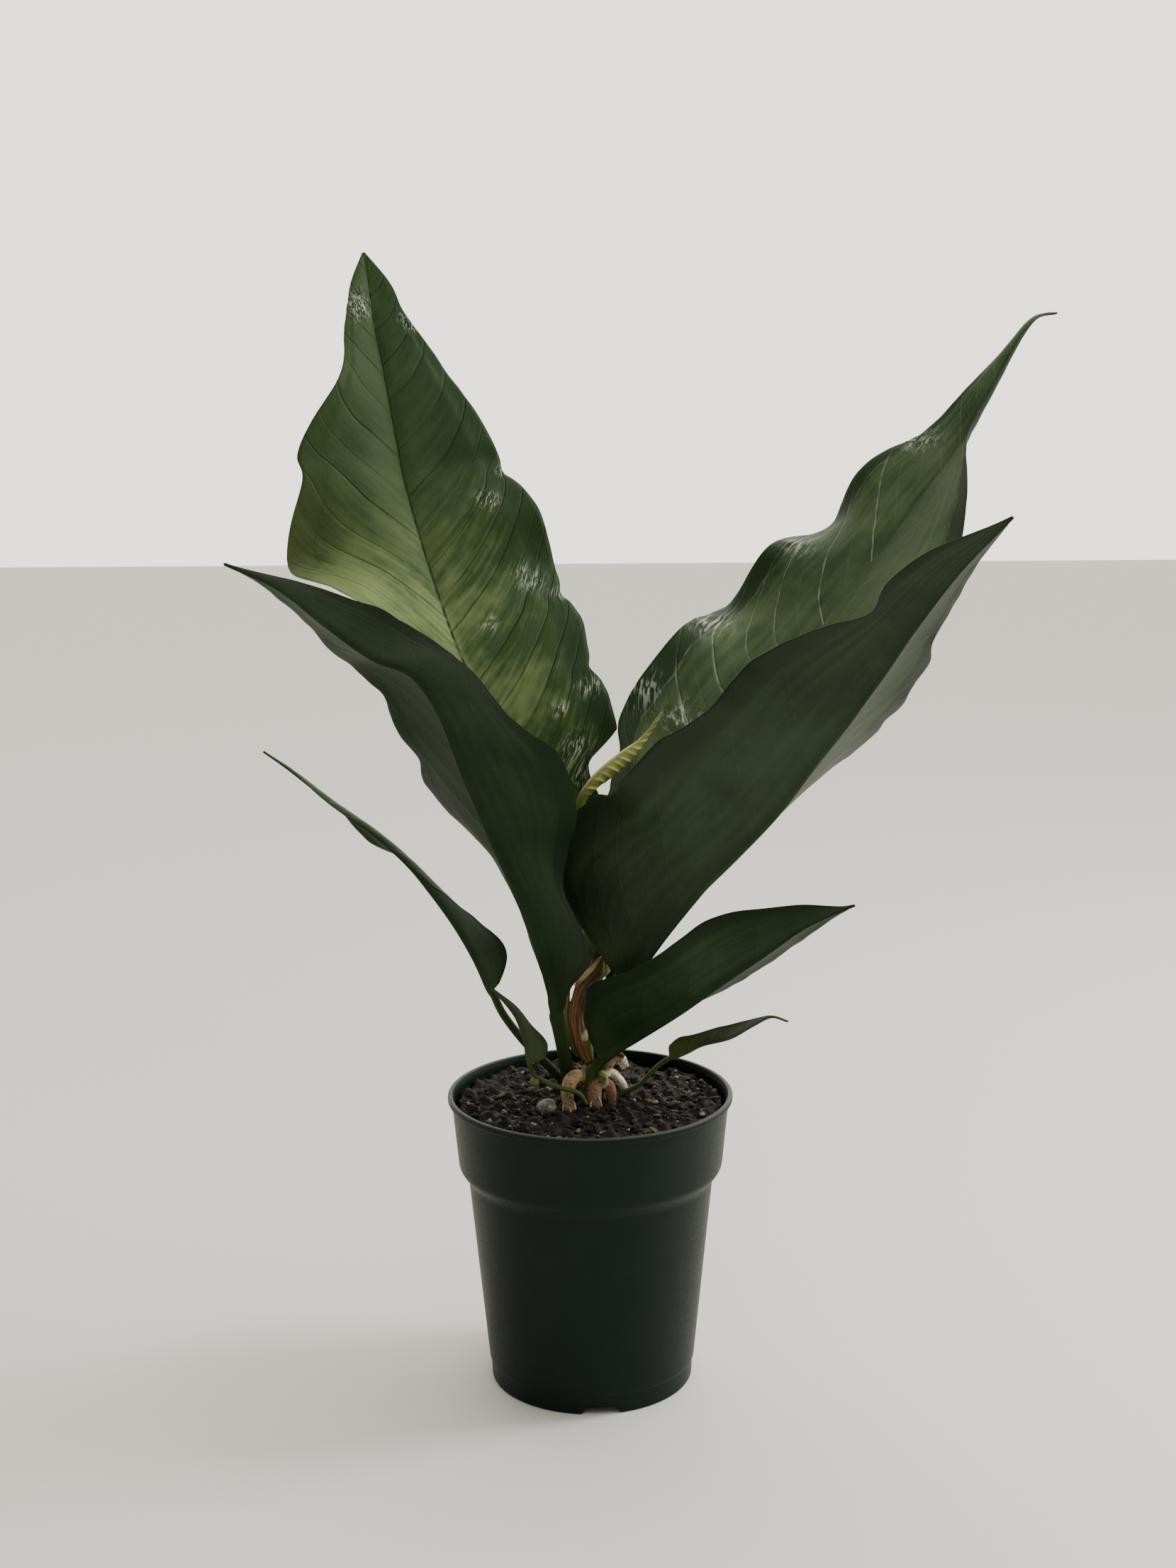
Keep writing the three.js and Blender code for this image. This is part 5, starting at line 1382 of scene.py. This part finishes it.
def leaf_grid(leaf):
    """Numbers for every ring along a leaf and every column across it, from margin to margin."""
    stalk = between(leaf["stalk"], even_places(leaf["stalk"], [0, 1, 2], leaf["step"]))[:-1]
    blade = between(leaf["blade"], even_places(leaf["blade"], [0, 1, 2], leaf["step"]))
    first = len(stalk)
    grid = SimpleNamespace(track=leaf_track(leaf, np.vstack([stalk[:, :3], blade[:, :3]])))
    grid.up, grid.left = leaf_axes(leaf, grid.track)
    grid.run = np.concatenate([[0], np.cumsum(np.linalg.norm(np.diff(grid.track, axis=0), axis=1))])
    grid.run -= grid.run[first]
    grid.length = grid.run[-1]
    grid.rib = np.interp(grid.run, [0, grid.length], leaf["rib"])
    grid.radius = np.concatenate([stalk[:, 3], np.interp(grid.run[first:], [0, STALK_GOES_ON],
                                                         [stalk[-1, 3], leaf["rib"][0] * 0.8])])

    # In the stalk the rings keep the blade's first row
    row = np.vstack([np.repeat(blade[:1], first, axis=0), blade])
    columns = leaf["fine"] + RIB_COLUMNS
    steps = np.arange(-columns, columns + 1)[None, :]
    grid.on_left = steps < 0
    grid.signed = np.sign(-steps)
    grid.distance = np.abs(steps)
    grid.wide = np.maximum(np.where(grid.on_left, row[:, 3:4], row[:, 5:6]), NARROWEST)
    grid.rib_share = np.minimum(grid.rib[:, None] / grid.wide, 0.4)
    past = np.clip((grid.distance - RIB_COLUMNS) / leaf["fine"], 0, 1)
    grid.share = np.where(grid.distance <= RIB_COLUMNS, grid.rib_share * grid.distance / RIB_COLUMNS,
                          grid.rib_share + (1 - grid.rib_share) * past)
    fold = np.radians(np.where(grid.on_left, row[:, 4:5], row[:, 6:7]))
    base = np.radians(np.where(grid.on_left, *leaf["base"]))
    grid.angle = base + (fold - base) * grid.share
    return grid


print("blade lengths in mm:", {name: round(float(leaf_grid(leaf).length)) for name, leaf in LEAVES.items()})

# %% [markdown]
# Side veins run out and forward. Each has a foot on the rib, and a point of the blade counts the feet
# behind the vein that would pass through it. Where a leaf has no list of its own, the feet are spread
# almost evenly.

# %% Side veins
MORE_VEINS = 8
MORE_STRENGTH = 0.6
CLOSEST_VEINS = 0.35  # share of the usual spacing in the shortest leaf, and it grows with the length
GROWN_LENGTH = 500
UNEVEN_FEET = 0.2
RIGHT_COUNTS_FROM = 40  # so the two halves never share a count, and no pattern is mirrored
FORWARD = 0.75
CURVED = 0.45


def side_veins(leaf, grid, seed):
    """How many side veins lie behind every point, and how strong the nearest one is."""
    sweep = np.interp(grid.run, *zip(*leaf.get("sweep", [(0, FORWARD)])))[:, None]
    back = grid.run[:, None] - grid.wide * (sweep * grid.share + CURVED * grid.share ** 3)
    spacing = VEIN_SPACING * min(1.0, CLOSEST_VEINS + grid.length / GROWN_LENGTH)
    even_feet = np.arange(-2 * spacing, grid.length + 3 * spacing, spacing)
    even_feet += UNEVEN_FEET * spacing * np.sin(even_feet / 31 + seed)
    even_veins = [(foot, 0.62 + 0.38 * math.sin(2.4 * number + seed)) for number, foot in enumerate(even_feet)]
    before, after = np.arange(-MORE_VEINS, 0) * spacing, np.arange(1, MORE_VEINS + 1) * spacing
    count, strength = np.zeros(back.shape), np.zeros(back.shape)
    for half, there in enumerate((grid.on_left[0], ~grid.on_left[0])):
        feet, strengths = np.array(leaf["veins"][half] if "veins" in leaf else even_veins).T
        feet = np.concatenate([feet[0] + before, feet, feet[-1] + after])
        strengths = np.pad(strengths, MORE_VEINS, constant_values=MORE_STRENGTH)
        passed = np.interp(back[:, there], feet, np.arange(len(feet)))
        count[:, there] = passed + RIGHT_COUNTS_FROM * half
        strength[:, there] = strengths[np.round(passed).astype(int)]
    return count, strength


print("leaves with a list of side veins:", sum("veins" in leaf for leaf in LEAVES.values()))

# %% [markdown]
# Small relief comes on top: the blade is puffed up between its side veins, which leaves a crease at
# each vein, it sags a little unevenly, its margins wave at random, and a few spots are puckered.

# %% Relief of the blade
PUFF_ENDS = (0.74, 0.84)
RELIEF_STARTS = (5, 40)
RELIEF_FADES = 0.85
FULL_RELIEF_WIDTH = 30
MARGIN_WAVE = 1.5
MARGIN_LENGTH = 24.0
SAG = 1.2
SAG_LENGTH = 55.0
PUCKER = 1.6
PUCKER_LENGTH = 5.0


def blade_skin(leaf, grid):
    """The blade's middle surface with its notches, before any relief, and its normals."""
    left, up = grid.signed[..., None] * grid.left[:, None, :], grid.up[:, None, :]
    sine, cosine = np.sin(grid.angle)[..., None], np.cos(grid.angle)[..., None]
    out = cosine * left + sine * up
    skin = grid.track[:, None, :] + (grid.wide * grid.share)[..., None] * out
    for along, side, reach, push in leaf.get("notches", []):
        pushed = push * np.exp(-((grid.run[:, None] - along) / reach) ** 2) * grid.share ** 4 * (grid.signed == side)
        skin = skin + pushed[..., None] * out
    return skin, cosine * up - sine * left


def noise_along(grid, length, left_seed, right_seed):
    """Smooth noise along the leaf, with a course of its own in each half of the blade."""
    rows = np.array([[noise.noise(Vector((place, 7.3 * seed, 0.5))) for seed in (left_seed, right_seed)]
                     for place in grid.run / length])
    return np.where(grid.on_left, rows[:, :1], rows[:, 1:])


def blade_relief(leaf, grid, skin, count, strength, seed):
    """How far every point stands out from the smooth blade, and how puckered it is there."""
    share, run = grid.share, grid.run[:, None]
    inner = smooth_step(share, grid.rib_share, grid.rib_share + 0.1) * (1 - smooth_step(share, *PUFF_ENDS))
    grown = smooth_step(run, *RELIEF_STARTS) * (1 - smooth_step(run, grid.length * RELIEF_FADES, grid.length))
    body = np.minimum(grid.wide / FULL_RELIEF_WIDTH, 1) * grown
    off_vein = 2 * np.abs(count - np.round(count))
    puffed = leaf["puff"] * (1 - strength * (1 - off_vein) ** 2) * inner * body
    waves = (noise_along(grid, MARGIN_LENGTH, seed, seed + 40)
             + 0.5 * noise_along(grid, 0.42 * MARGIN_LENGTH, seed + 9, seed + 63))
    wave = MARGIN_WAVE * share ** 4 * body * waves
    sags = noise_along(grid, SAG_LENGTH, seed + 17, seed + 71)
    sag = SAG * np.sin(np.minimum(share, 0.9) / 0.9 * np.pi) * body * sags
    puckered = np.zeros(share.shape)
    for along, across, reach in leaf.get("puckers", []):
        away = np.hypot(run - along, (share * grid.signed - across) * grid.wide)
        puckered = np.maximum(puckered, np.exp(-(away / reach) ** 2))
    crumpled = np.array([[noise.noise(Vector(point) / PUCKER_LENGTH) for point in ring] for ring in skin])
    return puffed + wave + sag + PUCKER * puckered * crumpled, puckered


print("blade between two side veins is puffed by up to", max(leaf["puff"] for leaf in LEAVES.values()), "mm")

# %% [markdown]
# In the stalk the points of a ring lie on a circle, a little flattened on top. Over a few millimetres
# the circle opens into the blade, so stalk and blade are one skin. The rib is a rounded ridge on the
# upper face, which sinks in towards the tip, and a deeper keel below.

# %% Rings of a leaf
THIN_MARGIN = 0.5
THINS_FROM = 0.85
RIB_SINKS = ([0, 0.4, 0.62], [1, 0.7, -0.5])  # share of the blade's length, and share of RIB_PROUD there
FLAT_TOP = 0.86


def leaf_rings(leaf, grid, skin, normal, lift, opened):
    """Every ring's points, from the left margin over the upper face and back along the lower one."""
    half = BLADE / 2 * (1 - THIN_MARGIN * smooth_step(grid.share, THINS_FROM, 1.0))
    quarter = np.clip(grid.distance / RIB_COLUMNS, 0, 1) * np.pi / 2
    places, prouder = RIB_SINKS
    proud = np.interp(grid.run, [grid.length * place for place in places],
                      [share * RIB_PROUD for share in prouder])[:, None]
    ridge = grid.rib[:, None] * proud * np.cos(quarter) ** 1.5
    keel = grid.rib[:, None] * KEEL_DEEP * np.cos(quarter) ** 0.9
    tilt = math.radians(leaf["base"][1] - leaf["base"][0]) / 2
    middle = (grid.up * math.cos(tilt) + grid.left * math.sin(tilt))[:, None, :]
    upper = skin + normal * (lift + half)[..., None] + middle * ridge[..., None]
    lower = skin + normal * (lift - half)[..., None] - middle * keel[..., None]
    blade = np.concatenate([upper, lower[:, ::-1]], axis=1)

    width = grid.share.shape[1]
    turn = np.pi - (np.arange(2 * width) + 0.5) * np.pi / width
    flat = np.where(np.sin(turn) > 0, FLAT_TOP, 1.0)
    stalk = (grid.track[:, None, :] - grid.left[:, None, :] * (np.cos(turn)[None, :] * grid.radius[:, None])[..., None]
             + grid.up[:, None, :] * ((np.sin(turn) * flat)[None, :] * grid.radius[:, None])[..., None])
    return stalk * (1 - opened[..., None]) + blade * opened[..., None]


print("blade is", BLADE, "mm thick, and", BLADE * (1 - THIN_MARGIN), "mm at its margin")

# %% One leaf as one skin
OPENING = 4.0
OPEN_ENOUGH = 0.99
FRESH_FADES = 25
SWELLING = dict(leaf="leaf_small_left", place=(-31.5, -25.2, 186.3), radius=2.6, fresh=0.8)


def build_leaf(name, leaf, seed):
    """One leaf from the foot of its stalk to its tip, as one closed skin with two materials."""
    grid = leaf_grid(leaf)
    count, strength = side_veins(leaf, grid, seed)
    skin, normal = blade_skin(leaf, grid)
    lift, puckered = blade_relief(leaf, grid, skin, count, strength, seed)
    opened = smooth_step(grid.run, -1.0, OPENING)[:, None]
    points = leaf_rings(leaf, grid, skin, normal, lift, opened)
    rings, around = points.shape[:2]
    points, faces = points.reshape(-1, 3), ring_faces(rings, around)

    # The first material is the opened blade's upper face; the second is its underside and the stalk
    on_top = np.tile(np.arange(around) < around // 2, rings - 1)
    skins = np.where(on_top & (np.repeat(opened[1:, 0], around) > OPEN_ENOUGH), 0, 1).tolist() + [1, 0]
    extra = 0
    if name == SWELLING["leaf"]:
        bead_points, bead_faces = BALLS[3]
        faces += [[corner + len(points) for corner in face] for face in bead_faces]
        points = np.vstack([points, bead_points * SWELLING["radius"] + np.array(SWELLING["place"])])
        skins += [1] * len(bead_faces)
        extra = len(bead_points)
    upper_skin, lower_skin = LEAF_FINISHES[leaf["finish"]]
    piece = place_piece(name + "_grown", points, faces, upper_skin, "leaf", name)
    piece.data.materials.append(lower_skin)
    piece.data.polygons.foreach_set("material_index", skins)

    foot, top = leaf["fresh"]
    fresh = np.interp(grid.run, [grid.run[0], 0, FRESH_FADES], [foot, top, 0])[:, None] * np.ones_like(grid.share)
    on_rib = 1 - smooth_step(grid.share * grid.wide, grid.rib[:, None] * 0.2, grid.rib[:, None] * 0.8)
    shown = np.interp(grid.run, [0, grid.length * 0.4, grid.length * 0.8], leaf.get("rib_shown", (1, 0.7, 0.2)))
    carried = dict(across=grid.share * grid.signed, along=grid.run[:, None] * np.ones_like(grid.share),
                   vein_count=count * 2, vein_strength=strength, rib=on_rib * opened * shown[:, None],
                   fresh=fresh, wrinkled=puckered)
    for label, values in carried.items():
        both_faces = np.concatenate([values, values[:, ::-1]], axis=1).ravel()
        on_swelling = np.full(extra, SWELLING["fresh"] if label == "fresh" else 0.0)
        mark(piece, label, np.concatenate([both_faces, on_swelling]))
    return len(faces)


print("a stalk opens into its blade over", OPENING, "mm")

# %% Build the leaves
leaf_faces = sum(build_leaf(name, leaf, seed) for seed, (name, leaf) in enumerate(LEAVES.items()))
print("leaf faces in all:", leaf_faces)
